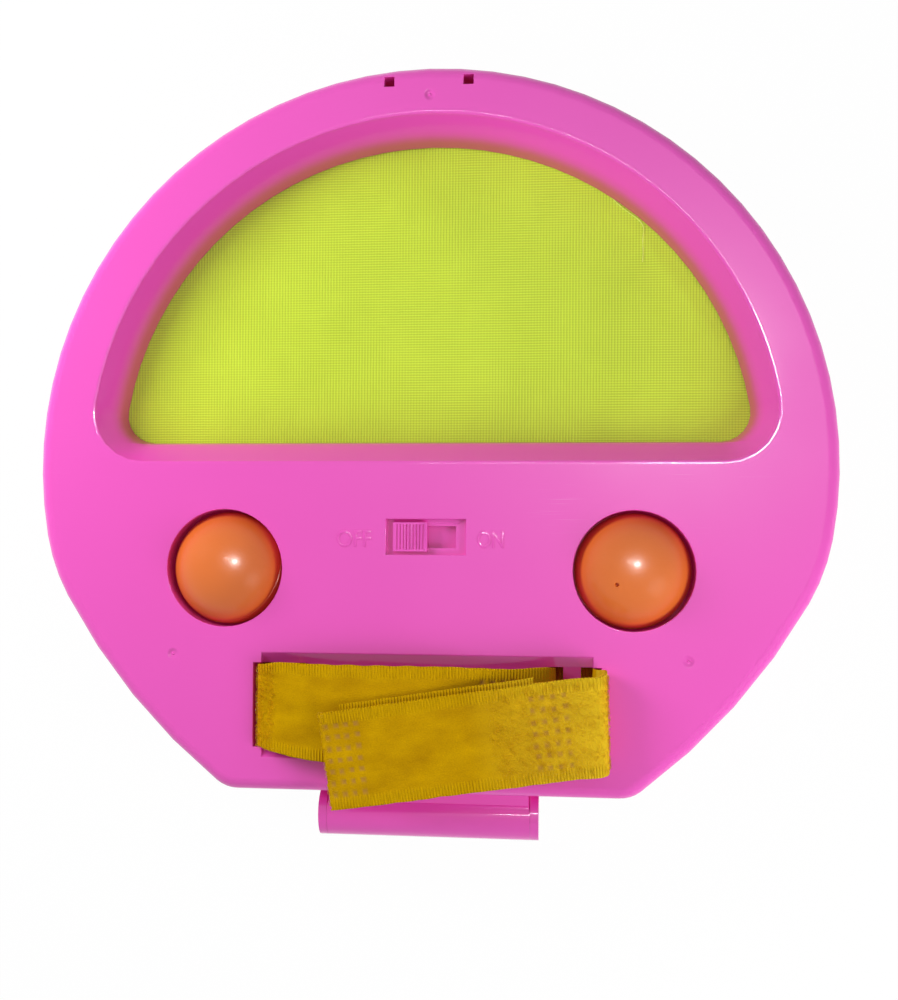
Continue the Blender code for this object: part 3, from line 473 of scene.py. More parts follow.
# Pads: lime green knit, stretched flat over the bottom of each funnel and clamped by a bezel from
# inside. A few threads have pulled and pucker the cloth at the upper right.
PAD_RADIUS = 0.0885
PAD_RISE = 0.0017
PAD_SILL = 0.0033
PAD_CORNER = 0.0116
PAD_DEPTH = 0.0121
PAD_THICKNESS = 0.0005
PAD_GRID = (200, 96)
PAD_GRID_HALF = (0.0915, 0.0440)
PAD_GRID_Y = 0.0472
OPENING_INSET = 0.0041
HELD_BAND = 0.004
SLACK_RISE = 0.00012
LIME = (0.690, 0.890, 0.045, 1)
LIME_SHADE = (0.350, 0.440, 0.010, 1)
PALE_LIME = (0.80, 0.85, 0.25, 1)
THREAD_RADIUS = 0.00014
# Folds over pulled threads: where each starts and ends, its width and its height.
PULLED_THREADS = (
    ((0.052, 0.066), (0.076, 0.032), 0.0016, 0.00030),
    ((0.060, 0.061), (0.071, 0.045), 0.0009, 0.00025),
    ((0.005, 0.080), (0.016, 0.083), 0.0012, 0.00020),
)
LOOSE_THREAD = (
    (0.04599, 0.07025, 0.01880),
    (0.04809, 0.06783, 0.01880),
    (0.05017, 0.06594, 0.01880),
    (0.05226, 0.06431, 0.01880),
    (0.05459, 0.06268, 0.01880),
    (0.05590, 0.06055, 0.01880),
    (0.05540, 0.05741, 0.01880),
    (0.05568, 0.05373, 0.01880),
    (0.05544, 0.05164, 0.01880),
)

lime_knit, knit_tree, knit_shader = new_material(
    "lime_knit", Roughness=0.85, Sheen_Weight=0.15, Sheen_Roughness=0.5
)
knit_place = place_node(knit_tree, "ShaderNodeTexCoord", {}).outputs["Object"]
wales = place_node(
    knit_tree,
    "ShaderNodeTexWave",
    {"Vector": knit_place, "Scale": 403.0, "Distortion": 0.6, "Detail": 1.0, "Detail Scale": 0.02},
    wave_type="BANDS",
    bands_direction="X",
)
courses = place_node(
    knit_tree,
    "ShaderNodeTexWave",
    {"Vector": knit_place, "Scale": 462.0, "Distortion": 0.8, "Detail": 1.0, "Detail Scale": 0.02},
    wave_type="BANDS",
    bands_direction="Y",
)
sway = place_node(knit_tree, "ShaderNodeTexNoise", {"Vector": knit_place, "Scale": 38.0, "Detail": 2.0})
sway_range = place_node(
    knit_tree,
    "ShaderNodeMapRange",
    {"Value": sway.outputs["Fac"], "From Min": 0.42, "From Max": 0.58, "To Min": 0.25, "To Max": 0.75},
)
stitches = place_node(
    knit_tree,
    "ShaderNodeMix",
    {0: sway_range.outputs[0], 2: wales.outputs["Fac"], 3: courses.outputs["Fac"]},
    data_type="FLOAT",
)
pull = place_node(knit_tree, "ShaderNodeTexNoise", {"Vector": knit_place, "Scale": 30.0, "Detail": 4.0})
pull_range = place_node(
    knit_tree,
    "ShaderNodeMapRange",
    {"Value": pull.outputs["Fac"], "From Min": 0.3, "From Max": 0.7, "To Min": 0.20, "To Max": 0.42},
)
knit_tone = place_node(
    knit_tree,
    "ShaderNodeMath",
    {0: stitches.outputs[0], 1: 0.70, 2: pull_range.outputs[0]},
    operation="MULTIPLY_ADD",
)
knit_colour = place_node(
    knit_tree, "ShaderNodeMix", {0: knit_tone.outputs[0], 6: LIME_SHADE, 7: LIME}, data_type="RGBA"
)
knit_bump = place_node(
    knit_tree, "ShaderNodeBump", {"Height": stitches.outputs[0], "Strength": 0.5, "Distance": 0.00015}
)
knit_tree.links.new(knit_colour.outputs[2], knit_shader.inputs["Base Color"])
knit_tree.links.new(knit_bump.outputs["Normal"], knit_shader.inputs["Normal"])


def pad_margin(x, y, inset):
    """How far a point lies inside the pad's outline, drawn in from it by inset."""
    radius, sill, corner = PAD_RADIUS - inset, PAD_SILL + inset, PAD_CORNER - inset
    middle_y = sill + corner
    middle_x = math.sqrt((radius - corner) ** 2 - (middle_y - PAD_RISE) ** 2)
    margin = min(radius - math.hypot(x, y - PAD_RISE), y - sill)
    if abs(x) > middle_x and y < middle_y:
        margin = min(margin, corner - math.hypot(abs(x) - middle_x, y - middle_y))
    return margin


def pucker(x, y):
    """Small folds where threads have pulled, and the slack of the cloth."""
    rise = SLACK_RISE * noise.noise(Vector((x * 45, y * 45, 0.3)))
    for start, end, width, height in PULLED_THREADS:
        line = Vector(end) - Vector(start)
        share = max(0.0, min(1.0, (Vector((x, y)) - Vector(start)).dot(line) / line.length_squared))
        gap = (Vector((x, y)) - Vector(start) - line * share).length
        rise += height * math.exp(-((gap / width) ** 2)) * math.sin(math.pi * (0.15 + 0.7 * share))
    return rise


def mesh_of(curve):
    """A curve or a text as a welded mesh."""
    holder = bpy.data.objects.new(curve.name + "_outline", curve)
    scene.collection.objects.link(holder)
    mesh = bpy.data.meshes.new_from_object(holder.evaluated_get(bpy.context.evaluated_depsgraph_get()))
    bpy.data.objects.remove(holder)
    bm = bmesh.new()
    bm.from_mesh(mesh)
    bmesh.ops.remove_doubles(bm, verts=bm.verts, dist=WELD_DISTANCE)
    return bm


def make_thread(name, points, radius, material, body):
    """A loose end of yarn that runs through the points."""
    curve = bpy.data.curves.new(name, "CURVE")
    curve.dimensions = "3D"
    curve.bevel_depth = radius
    curve.bevel_resolution = 1
    curve.use_fill_caps = True
    spline = curve.splines.new("NURBS")
    spline.points.add(len(points) - 1)
    for place, point in zip(spline.points, points):
        place.co = (*point, 1)
    spline.order_u = 3
    spline.use_endpoint_u = True
    return add_piece(name, mesh_of(curve), material, body, sharp=80.0)


def make_pad(name, body, node, height, outwards):
    """One pad of cloth."""
    bm = bmesh.new()
    bmesh.ops.create_grid(bm, x_segments=PAD_GRID[0], y_segments=PAD_GRID[1], size=1.0)
    bmesh.ops.scale(bm, verts=bm.verts, vec=(*PAD_GRID_HALF, 1))
    bmesh.ops.translate(bm, verts=bm.verts, vec=(0, PAD_GRID_Y, 0))
    outside = [v for v in bm.verts if pad_margin(v.co.x, v.co.y, 0.0) < 0]
    bmesh.ops.delete(bm, geom=outside, context="VERTS")
    for v in bm.verts:
        held = max(0.0, min(1.0, pad_margin(v.co.x, v.co.y, OPENING_INSET) / HELD_BAND))
        v.co = Vector((v.co.x, v.co.y + RIM_Y, height + outwards * held * pucker(v.co.x, v.co.y)))
    area = sum(face.calc_area() for face in bm.faces)
    pad = add_piece(name, bm, lime_knit, body, [node])
    cloth = pad.modifiers.new("cloth_thickness", "SOLIDIFY")
    cloth.thickness = PAD_THICKNESS
    cloth.offset = 0.0


pale_yarn, yarn_tree, yarn_shader = new_material("pale_yarn", Roughness=0.8)
yarn_place = place_node(yarn_tree, "ShaderNodeTexCoord", {}).outputs["Object"]
yarn_noise = place_node(
    yarn_tree, "ShaderNodeTexNoise", {"Vector": yarn_place, "Scale": 900.0, "Detail": 1.0}
)
yarn_mix = place_node(
    yarn_tree, "ShaderNodeMix", {0: yarn_noise.outputs["Fac"], 6: LIME, 7: PALE_LIME}, data_type="RGBA"
)
yarn_tree.links.new(yarn_mix.outputs[2], yarn_shader.inputs["Base Color"])
loose_thread = make_thread(
    "pad_loose_thread", LOOSE_THREAD, THREAD_RADIUS, pale_yarn, "rear_half"
)
make_pad("rear_pad_cloth", "rear_half", "rear_fabric", FACE - PAD_DEPTH, 1)
make_pad("front_pad_cloth", "front_half", "front_fabric", PAD_DEPTH, -1)

# Bezels and inner panels: pink mouldings that clamp the pads and close each half on its inner side,
# held by screws. The front panel carries the cups that the balls rest in.
for half in ("front", "rear"):
    for part in ("bezel", "panel"):
        add_piece(
            f"{half}_inner_{part}",
            welded_copy(f"{half}_{part}"),
            pink_inner,
            f"{half}_half",
            [f"{half}_{part}"],
            level=True,
        )

# Balls: hollow orange mouldings of two welded halves, with a fine weld line and one vent hole. They lie
# loose in their pockets and are scuffed where they stand proud.
BALL_RADIUS = 0.015
BALL_X = 0.0532
BALL_Y = -0.0264 + RIM_Y
BALL_Z = 0.0224
# The vent narrows in steps: its radius and its depth at each.
VENT_STEPS = ((0.00058, 0.00001), (0.00050, 0.00012), (0.00046, 0.0012))
SEAM_RADIUS = 0.00011
SEAM_SINK = 0.00004
ORANGE = (0.800, 0.185, 0.026, 1)
ORANGE_SHADE = (0.740, 0.155, 0.020, 1)
ORANGE_SCUFF = (0.90, 0.52, 0.28, 1)

orange_plastic, _, orange_shader, _ = moulded_plastic(
    "orange_plastic", ORANGE, ORANGE_SHADE, ORANGE_SCUFF, 0.10, 0.00012, coat=0.25
)
orange_shader.inputs["Coat Roughness"].default_value = 0.19
orange_shader.inputs["Specular IOR Level"].default_value = 0.40


def make_ball(name, node, x, vent, seam):
    """A ball whose vent and weld line face the given ways."""
    bm = bmesh.new()
    bmesh.ops.create_uvsphere(bm, u_segments=64, v_segments=40, radius=BALL_RADIUS)
    pole = max(bm.verts, key=lambda v: v.co.z)
    bmesh.ops.delete(bm, geom=[pole], context="VERTS")
    rim = [e for e in bm.edges if e.is_boundary]
    for radius, depth in VENT_STEPS:
        grown = bmesh.ops.extrude_edge_only(bm, edges=rim)["geom"]
        for v in (item for item in grown if isinstance(item, bmesh.types.BMVert)):
            flat = Vector((v.co.x, v.co.y)).normalized() * radius
            v.co = Vector((flat.x, flat.y, BALL_RADIUS - depth))
        rim = [item for item in grown if isinstance(item, bmesh.types.BMEdge)]
    bmesh.ops.contextual_create(bm, geom=rim)
    bmesh.ops.rotate(
        bm, verts=bm.verts, cent=(0, 0, 0), matrix=Vector((0, 0, 1)).rotation_difference(vent).to_matrix()
    )
    # Weld line: a low ridge all the way round.
    ridge = bmesh.ops.create_circle(bm, segments=6, radius=SEAM_RADIUS)["verts"]
    bmesh.ops.rotate(bm, verts=ridge, cent=(0, 0, 0), matrix=Matrix.Rotation(math.pi / 2, 3, "X"))
    bmesh.ops.translate(bm, verts=ridge, vec=(BALL_RADIUS - SEAM_SINK, 0, 0))
    edges = list({e for v in ridge for e in v.link_edges})
    swept = bmesh.ops.spin(
        bm, geom=ridge + edges, cent=(0, 0, 0), axis=(0, 0, 1), angle=2 * math.pi, steps=72, use_merge=True
    )
    found = set(ridge) | {item for item in swept["geom_last"] if isinstance(item, bmesh.types.BMVert)}
    to_visit = list(found)
    while to_visit:
        for e in to_visit.pop().link_edges:
            for v in e.verts:
                if v not in found:
                    found.add(v)
                    to_visit.append(v)
    bmesh.ops.rotate(
        bm, verts=list(found), cent=(0, 0, 0), matrix=Vector((0, 0, 1)).rotation_difference(seam).to_matrix()
    )
    bmesh.ops.translate(bm, verts=bm.verts, vec=(x, BALL_Y, BALL_Z))
    bmesh.ops.recalc_face_normals(bm, faces=bm.faces)
    add_piece(name, bm, orange_plastic, f"{node}_body", [node], sharp=50.0)


make_ball("left_play_ball", "left_ball", -BALL_X, Vector((0.3, 0.5, -0.81)), Vector((0.29, -0.28, -0.92)))
make_ball(
    "right_play_ball", "right_ball", BALL_X, Vector((-0.300, -0.225, 0.927)), Vector((0.08, 0.06, 0.99))
)

# Switch: a pink knob with upright ribs that slides in a sunk slot, with OFF and ON raised in the
# moulding on either side. Under it sit a slider and a sprung contact.
SWITCH_Y = -0.018 + RIM_Y
WORD_SINK = 0.00003
switch_bm = welded_copy("switch_knob")
add_piece("switch_thumb", switch_bm, pink_inner, "power_slide", ["switch_knob"])


def raised_word(name, word, centre_x, centre_y, width, height):
    """Letters that stand up from the face, drawn to the given width and height."""
    curve = bpy.data.curves.new(name, "FONT")
    curve.body = word
    curve.size = 0.006
    curve.extrude = 0.00012
    curve.bevel_depth = 0.00005
    curve.bevel_resolution = 1
    bm = mesh_of(curve)
    low = Vector([min(v.co[axis] for v in bm.verts) for axis in range(3)])
    high = Vector([max(v.co[axis] for v in bm.verts) for axis in range(3)])
    bmesh.ops.translate(bm, verts=bm.verts, vec=-(low + high) / 2)
    bmesh.ops.scale(bm, verts=bm.verts, vec=(width / (high.x - low.x), height / (high.y - low.y), 1))
    bmesh.ops.translate(bm, verts=bm.verts, vec=(centre_x, centre_y, FACE - WORD_SINK))
    add_piece(name, bm, pink_inner, "rear_half")


raised_word("word_off", "OFF", -0.0188, SWITCH_Y - 0.0005, 0.0090, 0.0044)
raised_word("word_on", "ON", 0.0167, SWITCH_Y - 0.0006, 0.0067, 0.0044)

# Hand strap: 25 mm hook-and-loop tape in golden yellow. It is sewn round the left bar, goes over the
# finger hollow and round the right bar, and folds back on itself. Its ends are welded in rows of dots.
STRAP_WIDTH = 0.025
STRAP_THICKNESS = 0.0011
STRAP_ARCH = 0.0068
HOLLOW_Y = -0.0622 + RIM_Y
YELLOW = (0.690, 0.390, 0.000, 1)
YELLOW_SHADE = (0.420, 0.205, 0.000, 1)
WELD_TAN = (0.450, 0.210, 0.060, 1)
LOOP_YELLOW = (0.950, 0.680, 0.030, 1)
WELD_SIZE = 0.00085
WELD_EDGE = 0.0003
WELD_JITTER = 0.00035
WELD_ROW_PITCH = 0.0029
WELD_ROWS_EACH_SIDE = 3
WELD_COLUMN_REACH = 0.0013
WELD_DEPTH = 0.00028
EDGE_WAVE = 0.00018
TAPE_SLACK = 0.00010
FRAY_REACH = 0.0005
STATION_STEPS = 8
slot_in, slot_out, bar = 0.03295, 0.0434, 0.03775
under, drop, narrow = 0.0092, 0.00644, 0.0214
band_y, tail_y, over = HOLLOW_Y - 0.0012, HOLLOW_Y - 0.0030, 0.0083
# Stations along the strap: x, y, height over the face, width, and turn in degrees.
strap_stations = [
    (-slot_in, HOLLOW_Y, -0.0005, narrow, 0),
    (-slot_in, HOLLOW_Y, -drop, narrow, 0),
    (-slot_in - 0.0015, HOLLOW_Y, -under + 0.0004, narrow, 0),
    (-bar, HOLLOW_Y, -under, narrow, 0),
    (-slot_out + 0.0012, HOLLOW_Y, -under + 0.0004, narrow, 0),
    (-slot_out, HOLLOW_Y, -drop, narrow, 0),
    (-slot_out, HOLLOW_Y, -0.0010, narrow, 0),
    (-slot_out + 0.0008, HOLLOW_Y, 0.0014, narrow, 0),
    (-bar, HOLLOW_Y - 0.0003, 0.45 * STRAP_ARCH, 0.94 * STRAP_WIDTH, 0),
    (-0.80 * slot_in, band_y, 0.78 * STRAP_ARCH, STRAP_WIDTH, 0),
    (-0.35 * slot_in, band_y, STRAP_ARCH, STRAP_WIDTH, 0),
    (0.20 * slot_in, band_y, 0.97 * STRAP_ARCH, STRAP_WIDTH, 0),
    (0.66 * slot_in, band_y, 0.68 * STRAP_ARCH, 0.96 * STRAP_WIDTH, 0),
    (0.93 * slot_in, HOLLOW_Y, 0.25 * STRAP_ARCH, 0.90 * STRAP_WIDTH, 0),
    (slot_in, HOLLOW_Y, -0.0020, narrow, 0),
    (slot_in, HOLLOW_Y, -drop, narrow, 0),
    (slot_in + 0.0015, HOLLOW_Y, -under + 0.0004, narrow, 0),
    (bar, HOLLOW_Y, -under, narrow, 0),
    (slot_out - 0.0012, HOLLOW_Y, -under + 0.0004, narrow, 0),
    (slot_out, HOLLOW_Y, -drop, narrow, 0),
    (slot_out + 0.0002, HOLLOW_Y, -0.0010, narrow, 0),
    (slot_out + 0.0010, HOLLOW_Y, 0.0008, narrow, 0),
    (slot_out + 0.0024, HOLLOW_Y - 0.0010, 0.0030, 0.95 * STRAP_WIDTH, -1),
    (slot_out + 0.0028, tail_y + 0.0008, 0.0056, STRAP_WIDTH, -2),
    (slot_out + 0.0008, tail_y, over - 0.0002, STRAP_WIDTH, -4),
    (bar - 0.0005, tail_y - 0.0006, over + 0.0006, STRAP_WIDTH, -7),
    (0.66 * slot_in, tail_y - 0.0030, over + 0.0008, STRAP_WIDTH, -8.5),
    (0.20 * slot_in, tail_y - 0.0053, over + 0.0008, STRAP_WIDTH, -8.5),
    (-0.35 * slot_in, tail_y - 0.0082, over + 0.0008, STRAP_WIDTH, -8.5),
    (-0.745 * slot_in, tail_y - 0.0103, over - 0.0004, STRAP_WIDTH, -8.5),
]


def smoothed(rows, steps):
    """Rows joined by a smooth curve through them."""
    padded = [rows[0]] + rows + [rows[-1]]
    found = []
    for a, b, c, d in zip(padded, padded[1:], padded[2:], padded[3:]):
        for step in range(steps):
            t = step / steps
            found.append(
                tuple(
                    q + 0.5 * t * (r - p + t * (2 * p - 5 * q + 4 * r - s + t * (3 * (q - r) + s - p)))
                    for p, q, r, s in zip(a, b, c, d)
                )
            )
    return found + [tuple(rows[-1])]


strap_rows = smoothed(strap_stations, STATION_STEPS)
strap_places = [Vector((row[0], row[1], FACE + row[2])) for row in strap_rows]
strap_marks = [0.0]
for before, after in zip(strap_places, strap_places[1:]):
    strap_marks.append(strap_marks[-1] + (after - before).length)
STRAP_LENGTH = strap_marks[-1]


def strap_at(distance):
    """The strap's middle, its sideways and upright directions and its width, this far along it."""
    here = max(1, min(len(strap_marks) - 1, bisect.bisect_left(strap_marks, distance)))
    share = (distance - strap_marks[here - 1]) / max(1e-9, strap_marks[here] - strap_marks[here - 1])
    middle = strap_places[here - 1].lerp(strap_places[here], share)
    low, high = max(here - 3, 0), min(here + 2, len(strap_places) - 1)
    along = (strap_places[high] - strap_places[low]).normalized()
    turn = math.radians(strap_rows[here - 1][4] * (1 - share) + strap_rows[here][4] * share)
    across = Vector((math.sin(turn), math.cos(turn), 0))
    width = strap_rows[here - 1][3] * (1 - share) + strap_rows[here][3] * share
    return middle, across, along.cross(across).normalized(), width


def strap_distance(x, after):
    """Where the strap passes x, beyond a given station."""
    first = STATION_STEPS * after
    return min(zip(strap_places[first:], strap_marks[first:]), key=lambda pair: abs(pair[0].x - x))[1]


tail_start = strap_distance(slot_out + 0.0028, 23)
band_weld = strap_marks[STATION_STEPS * 12]
weld_columns = [(STRAP_LENGTH - 0.0016 - 0.0026 * n, 1) for n in range(4)]
weld_columns += [(STRAP_LENGTH - 0.0540 - 0.0027 * n, 1) for n in range(4)]
weld_columns += [(band_weld - 0.0066 + 0.0026 * n, -1) for n in range(4)]


def weld_dent(distance, offset):
    """How deep a weld dot presses the tape here, from 0 to 1, and on which side."""
    for column, side in weld_columns:
        if abs(distance - column) < WELD_COLUMN_REACH:
            row = round(offset / WELD_ROW_PITCH)
            if abs(row) <= WELD_ROWS_EACH_SIDE:
                jitter = WELD_JITTER * noise.noise(Vector((column * 900, row * 1.7, 5.0)))
                reach = max(abs(distance - column - jitter), abs(offset - WELD_ROW_PITCH * row + jitter))
                return side * max(0.0, min(1.0, (WELD_SIZE - reach) / WELD_EDGE))
    return 0.0


def tape(name, start, end, along, across, sink, shift, thickness, dents):
    """A length of tape laid along the strap's route, with its own coordinates and weld marks."""
    bm = bmesh.new()
    flat = bm.loops.layers.uv.new("tape")
    weld = bm.verts.layers.float.new("weld")
    bmesh.ops.create_grid(bm, x_segments=along, y_segments=across, size=1.0)
    bm.verts.index_update()
    spots = {}
    for v in bm.verts:
        distance = start + (end - start) * (v.co.x + 1) / 2
        side = v.co.y
        middle, sideways, up, width = strap_at(min(max(distance, 0.0), STRAP_LENGTH))
        wave = EDGE_WAVE * noise.noise(Vector((distance * 260, side * 2, 1.0))) * abs(side) ** 3
        offset = side * width / 2 + wave
        dent = weld_dent(distance, offset) if dents else 0.0
        slack = TAPE_SLACK * noise.noise(Vector((distance * 120, offset * 160, 2.0)))
        spots[v.index] = (distance, side * STRAP_WIDTH / 2)
        v[weld] = abs(dent)
        fray = 0.0
        if distance > STRAP_LENGTH - FRAY_REACH:
            fray = FRAY_REACH * noise.noise(Vector((offset * 900, 0, 7.0)))
        lift = sink + slack + WELD_DEPTH * dent
        v.co = middle + sideways * (offset + shift) + up * lift + Vector((fray, 0, 0))
    for face in bm.faces:
        for loop in face.loops:
            loop[flat].uv = spots[loop.vert.index]
    made = add_piece(name, bm, yellow_tape, "rear_half", sharp=80.0)
    body = made.modifiers.new("tape_thickness", "SOLIDIFY")
    body.thickness = thickness
    body.offset = 0.0
    return made


yellow_tape, tape_tree, tape_shader = new_material("yellow_tape", Roughness=0.9, Specular_IOR_Level=0.05)
tape_uv = place_node(tape_tree, "ShaderNodeUVMap", {}, uv_map="tape").outputs["UV"]
tape_split = place_node(tape_tree, "ShaderNodeSeparateXYZ", {0: tape_uv})
edge_side = place_node(tape_tree, "ShaderNodeMath", {0: tape_split.outputs["Y"]}, operation="ABSOLUTE")
selvedge = place_node(
    tape_tree,
    "ShaderNodeMapRange",
    {"Value": edge_side.outputs[0], "From Min": 0.0088, "From Max": 0.0104, "To Min": 0.0, "To Max": 1.0},
    interpolation_type="SMOOTHSTEP",
)
ribs = place_node(
    tape_tree,
    "ShaderNodeTexWave",
    {"Vector": tape_uv, "Scale": 400.0, "Distortion": 0.5, "Detail": 1.0, "Detail Scale": 0.05},
    wave_type="BANDS",
    bands_direction="X",
)
rib_height = place_node(
    tape_tree, "ShaderNodeMath", {0: ribs.outputs["Fac"], 1: selvedge.outputs[0]}, operation="MULTIPLY"
)
nap_way = place_node(tape_tree, "ShaderNodeMapping", {"Vector": tape_uv, "Scale": (2300.0, 2900.0, 1.0)})
nap = place_node(
    tape_tree, "ShaderNodeTexNoise", {"Vector": nap_way.outputs["Vector"], "Scale": 1.0, "Detail": 3.0}
)
drift_way = place_node(tape_tree, "ShaderNodeMapping", {"Vector": tape_uv, "Scale": (90.0, 160.0, 1.0)})
drift = place_node(
    tape_tree, "ShaderNodeTexNoise", {"Vector": drift_way.outputs["Vector"], "Scale": 1.0, "Detail": 3.0}
)
nap_drift = place_node(
    tape_tree,
    "ShaderNodeMath",
    {0: nap.outputs["Fac"], 1: 0.6, 2: drift.outputs["Fac"]},
    operation="MULTIPLY_ADD",
)
tape_height = place_node(
    tape_tree,
    "ShaderNodeMath",
    {0: rib_height.outputs[0], 1: 1.8, 2: nap.outputs["Fac"]},
    operation="MULTIPLY_ADD",
)
tape_light = place_node(
    tape_tree,
    "ShaderNodeMath",
    {0: rib_height.outputs[0], 1: 0.55, 2: nap_drift.outputs[0]},
    operation="MULTIPLY_ADD",
)
tape_range = place_node(
    tape_tree,
    "ShaderNodeMapRange",
    {"Value": tape_light.outputs[0], "From Min": 0.45, "From Max": 1.05, "To Min": 0.0, "To Max": 1.0},
)
tape_colour = place_node(
    tape_tree, "ShaderNodeMix", {0: tape_range.outputs[0], 6: YELLOW_SHADE, 7: YELLOW}, data_type="RGBA"
)
pile_share = place_node(
    tape_tree,
    "ShaderNodeMapRange",
    {
        "Value": tape_split.outputs["X"],
        "From Min": tail_start + 0.004,
        "From Max": tail_start + 0.036,
        "To Min": 0.55,
        "To Max": 0.0,
    },
)
past_fold = place_node(
    tape_tree, "ShaderNodeMath", {0: tape_split.outputs["X"], 1: tail_start - 0.006}, operation="GREATER_THAN"
)
pile_mask = place_node(
    tape_tree, "ShaderNodeMath", {0: pile_share.outputs[0], 1: past_fold.outputs[0]}, operation="MULTIPLY"
)
tape_bright = place_node(
    tape_tree,
    "ShaderNodeMix",
    {0: pile_mask.outputs[0], 6: tape_colour.outputs[2], 7: LOOP_YELLOW},
    data_type="RGBA",
)
weld_mask = place_node(tape_tree, "ShaderNodeAttribute", {}, attribute_name="weld").outputs["Fac"]
weld_share = place_node(tape_tree, "ShaderNodeMath", {0: weld_mask, 1: 0.58}, operation="MULTIPLY")
tape_finish = place_node(
    tape_tree,
    "ShaderNodeMix",
    {0: weld_share.outputs[0], 6: tape_bright.outputs[2], 7: WELD_TAN},
    data_type="RGBA",
)
tape_bump = place_node(
    tape_tree, "ShaderNodeBump", {"Height": tape_height.outputs[0], "Strength": 0.7, "Distance": 0.00025}
)
tape_tree.links.new(tape_finish.outputs[2], tape_shader.inputs["Base Color"])
tape_tree.links.new(tape_bump.outputs["Normal"], tape_shader.inputs["Normal"])

strap = tape(
    "strap_tape",
    0.0,
    STRAP_LENGTH,
    along=520,
    across=54,
    sink=0.0,
    shift=0.0,
    thickness=STRAP_THICKNESS,
    dents=True,
)
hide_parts("hand_strap")
hook_ply = tape(
    "strap_hook_ply",
    strap_distance(0.029, 24),
    strap_distance(-0.0200, 24),
    along=120,
    across=40,
    sink=0.00100,
    shift=0.0014,
    thickness=0.0007,
    dents=False,
)

# Loop pile and loose threads of the strap: fine translucent nylon loops that stand up from the tape
# towards its right fold, at its left bar and at its cut end.
FOLD_LOOPS = 2400
BAR_LOOPS = 420
END_LOOPS = 240
yellow_loops, loop_tree, loop_shader = new_material("yellow_loops", Roughness=0.35, Specular_IOR_Level=0.5)
loop_place = place_node(loop_tree, "ShaderNodeTexCoord", {}).outputs["Object"]
loop_noise = place_node(
    loop_tree, "ShaderNodeTexNoise", {"Vector": loop_place, "Scale": 700.0, "Detail": 1.0}
)
loop_colour = place_node(
    loop_tree, "ShaderNodeMix", {0: loop_noise.outputs["Fac"], 6: YELLOW, 7: LOOP_YELLOW}, data_type="RGBA"
)
loop_tree.links.new(loop_colour.outputs[2], loop_shader.inputs["Base Color"])

chance = random.Random(11)
pile_bm = bmesh.new()
loop_bm = bmesh.new()
ring = bmesh.ops.create_circle(loop_bm, segments=3, radius=0.11)["verts"]
bmesh.ops.rotate(loop_bm, verts=ring, cent=(0, 0, 0), matrix=Matrix.Rotation(math.pi / 2, 3, "X"))
bmesh.ops.translate(loop_bm, verts=ring, vec=(1, 0, 0))
bmesh.ops.spin(
    loop_bm,
    geom=loop_bm.verts[:] + loop_bm.edges[:],
    cent=(0, 0, 0),
    axis=(0, 1, 0),
    angle=-math.pi * 1.1,
    steps=6,
)
bmesh.ops.recalc_face_normals(loop_bm, faces=loop_bm.faces)
loop_mesh = bpy.data.meshes.new("one_loop")


def add_loop(place, up, radius, turn):
    """One small loop of yarn that stands on the tape."""
    one = loop_bm.copy()
    way = Vector((0, 0, 1)).rotation_difference(up).to_matrix() @ Matrix.Rotation(turn, 3, "Z")
    bmesh.ops.scale(one, verts=one.verts, vec=(radius, radius, radius))
    bmesh.ops.rotate(one, verts=one.verts, cent=(0, 0, 0), matrix=way)
    bmesh.ops.translate(one, verts=one.verts, vec=place)
    one.to_mesh(loop_mesh)
    one.free()
    pile_bm.from_mesh(loop_mesh)


for _ in range(FOLD_LOOPS):
    share = chance.random() ** 0.75
    distance = tail_start - 0.0035 + 0.034 * (1 - share)
    middle, sideways, up, width = strap_at(distance)
    place = middle + sideways * width * chance.uniform(-0.47, 0.47) - up * STRAP_THICKNESS * 0.5
    lean = (-up + Vector((chance.uniform(-0.6, 0.6), chance.uniform(-0.6, 0.6), 0.2))).normalized()
    add_loop(place, lean, chance.uniform(0.00024, 0.00052), chance.uniform(0, math.pi))
for _ in range(BAR_LOOPS):
    distance = strap_marks[STATION_STEPS * 7] + chance.uniform(-0.002, 0.004)
    middle, sideways, up, width = strap_at(distance)
    place = middle + sideways * width * chance.uniform(-0.5, 0.5) + up * STRAP_THICKNESS * 0.5
    lean = (up + Vector((chance.uniform(-0.9, 0.2), chance.uniform(-0.4, 0.4), 0.2))).normalized()
    add_loop(place, lean, chance.uniform(0.00028, 0.0006), chance.uniform(0, math.pi))
for _ in range(END_LOOPS):
    distance = STRAP_LENGTH - abs(chance.gauss(0, 0.0010))
    middle, sideways, up, width = strap_at(distance)
    place = middle + sideways * width * chance.uniform(-0.5, 0.5) - up * chance.uniform(-0.0004, 0.0005)
    lean = Vector((-1, chance.uniform(-0.5, 0.5), chance.uniform(-0.1, 0.7))).normalized()
    add_loop(place, lean, chance.uniform(0.0002, 0.0006), chance.uniform(0, math.pi))
loop_bm.free()
pile = add_piece("strap_loop_pile", pile_bm, yellow_loops, "rear_half", sharp=80.0)

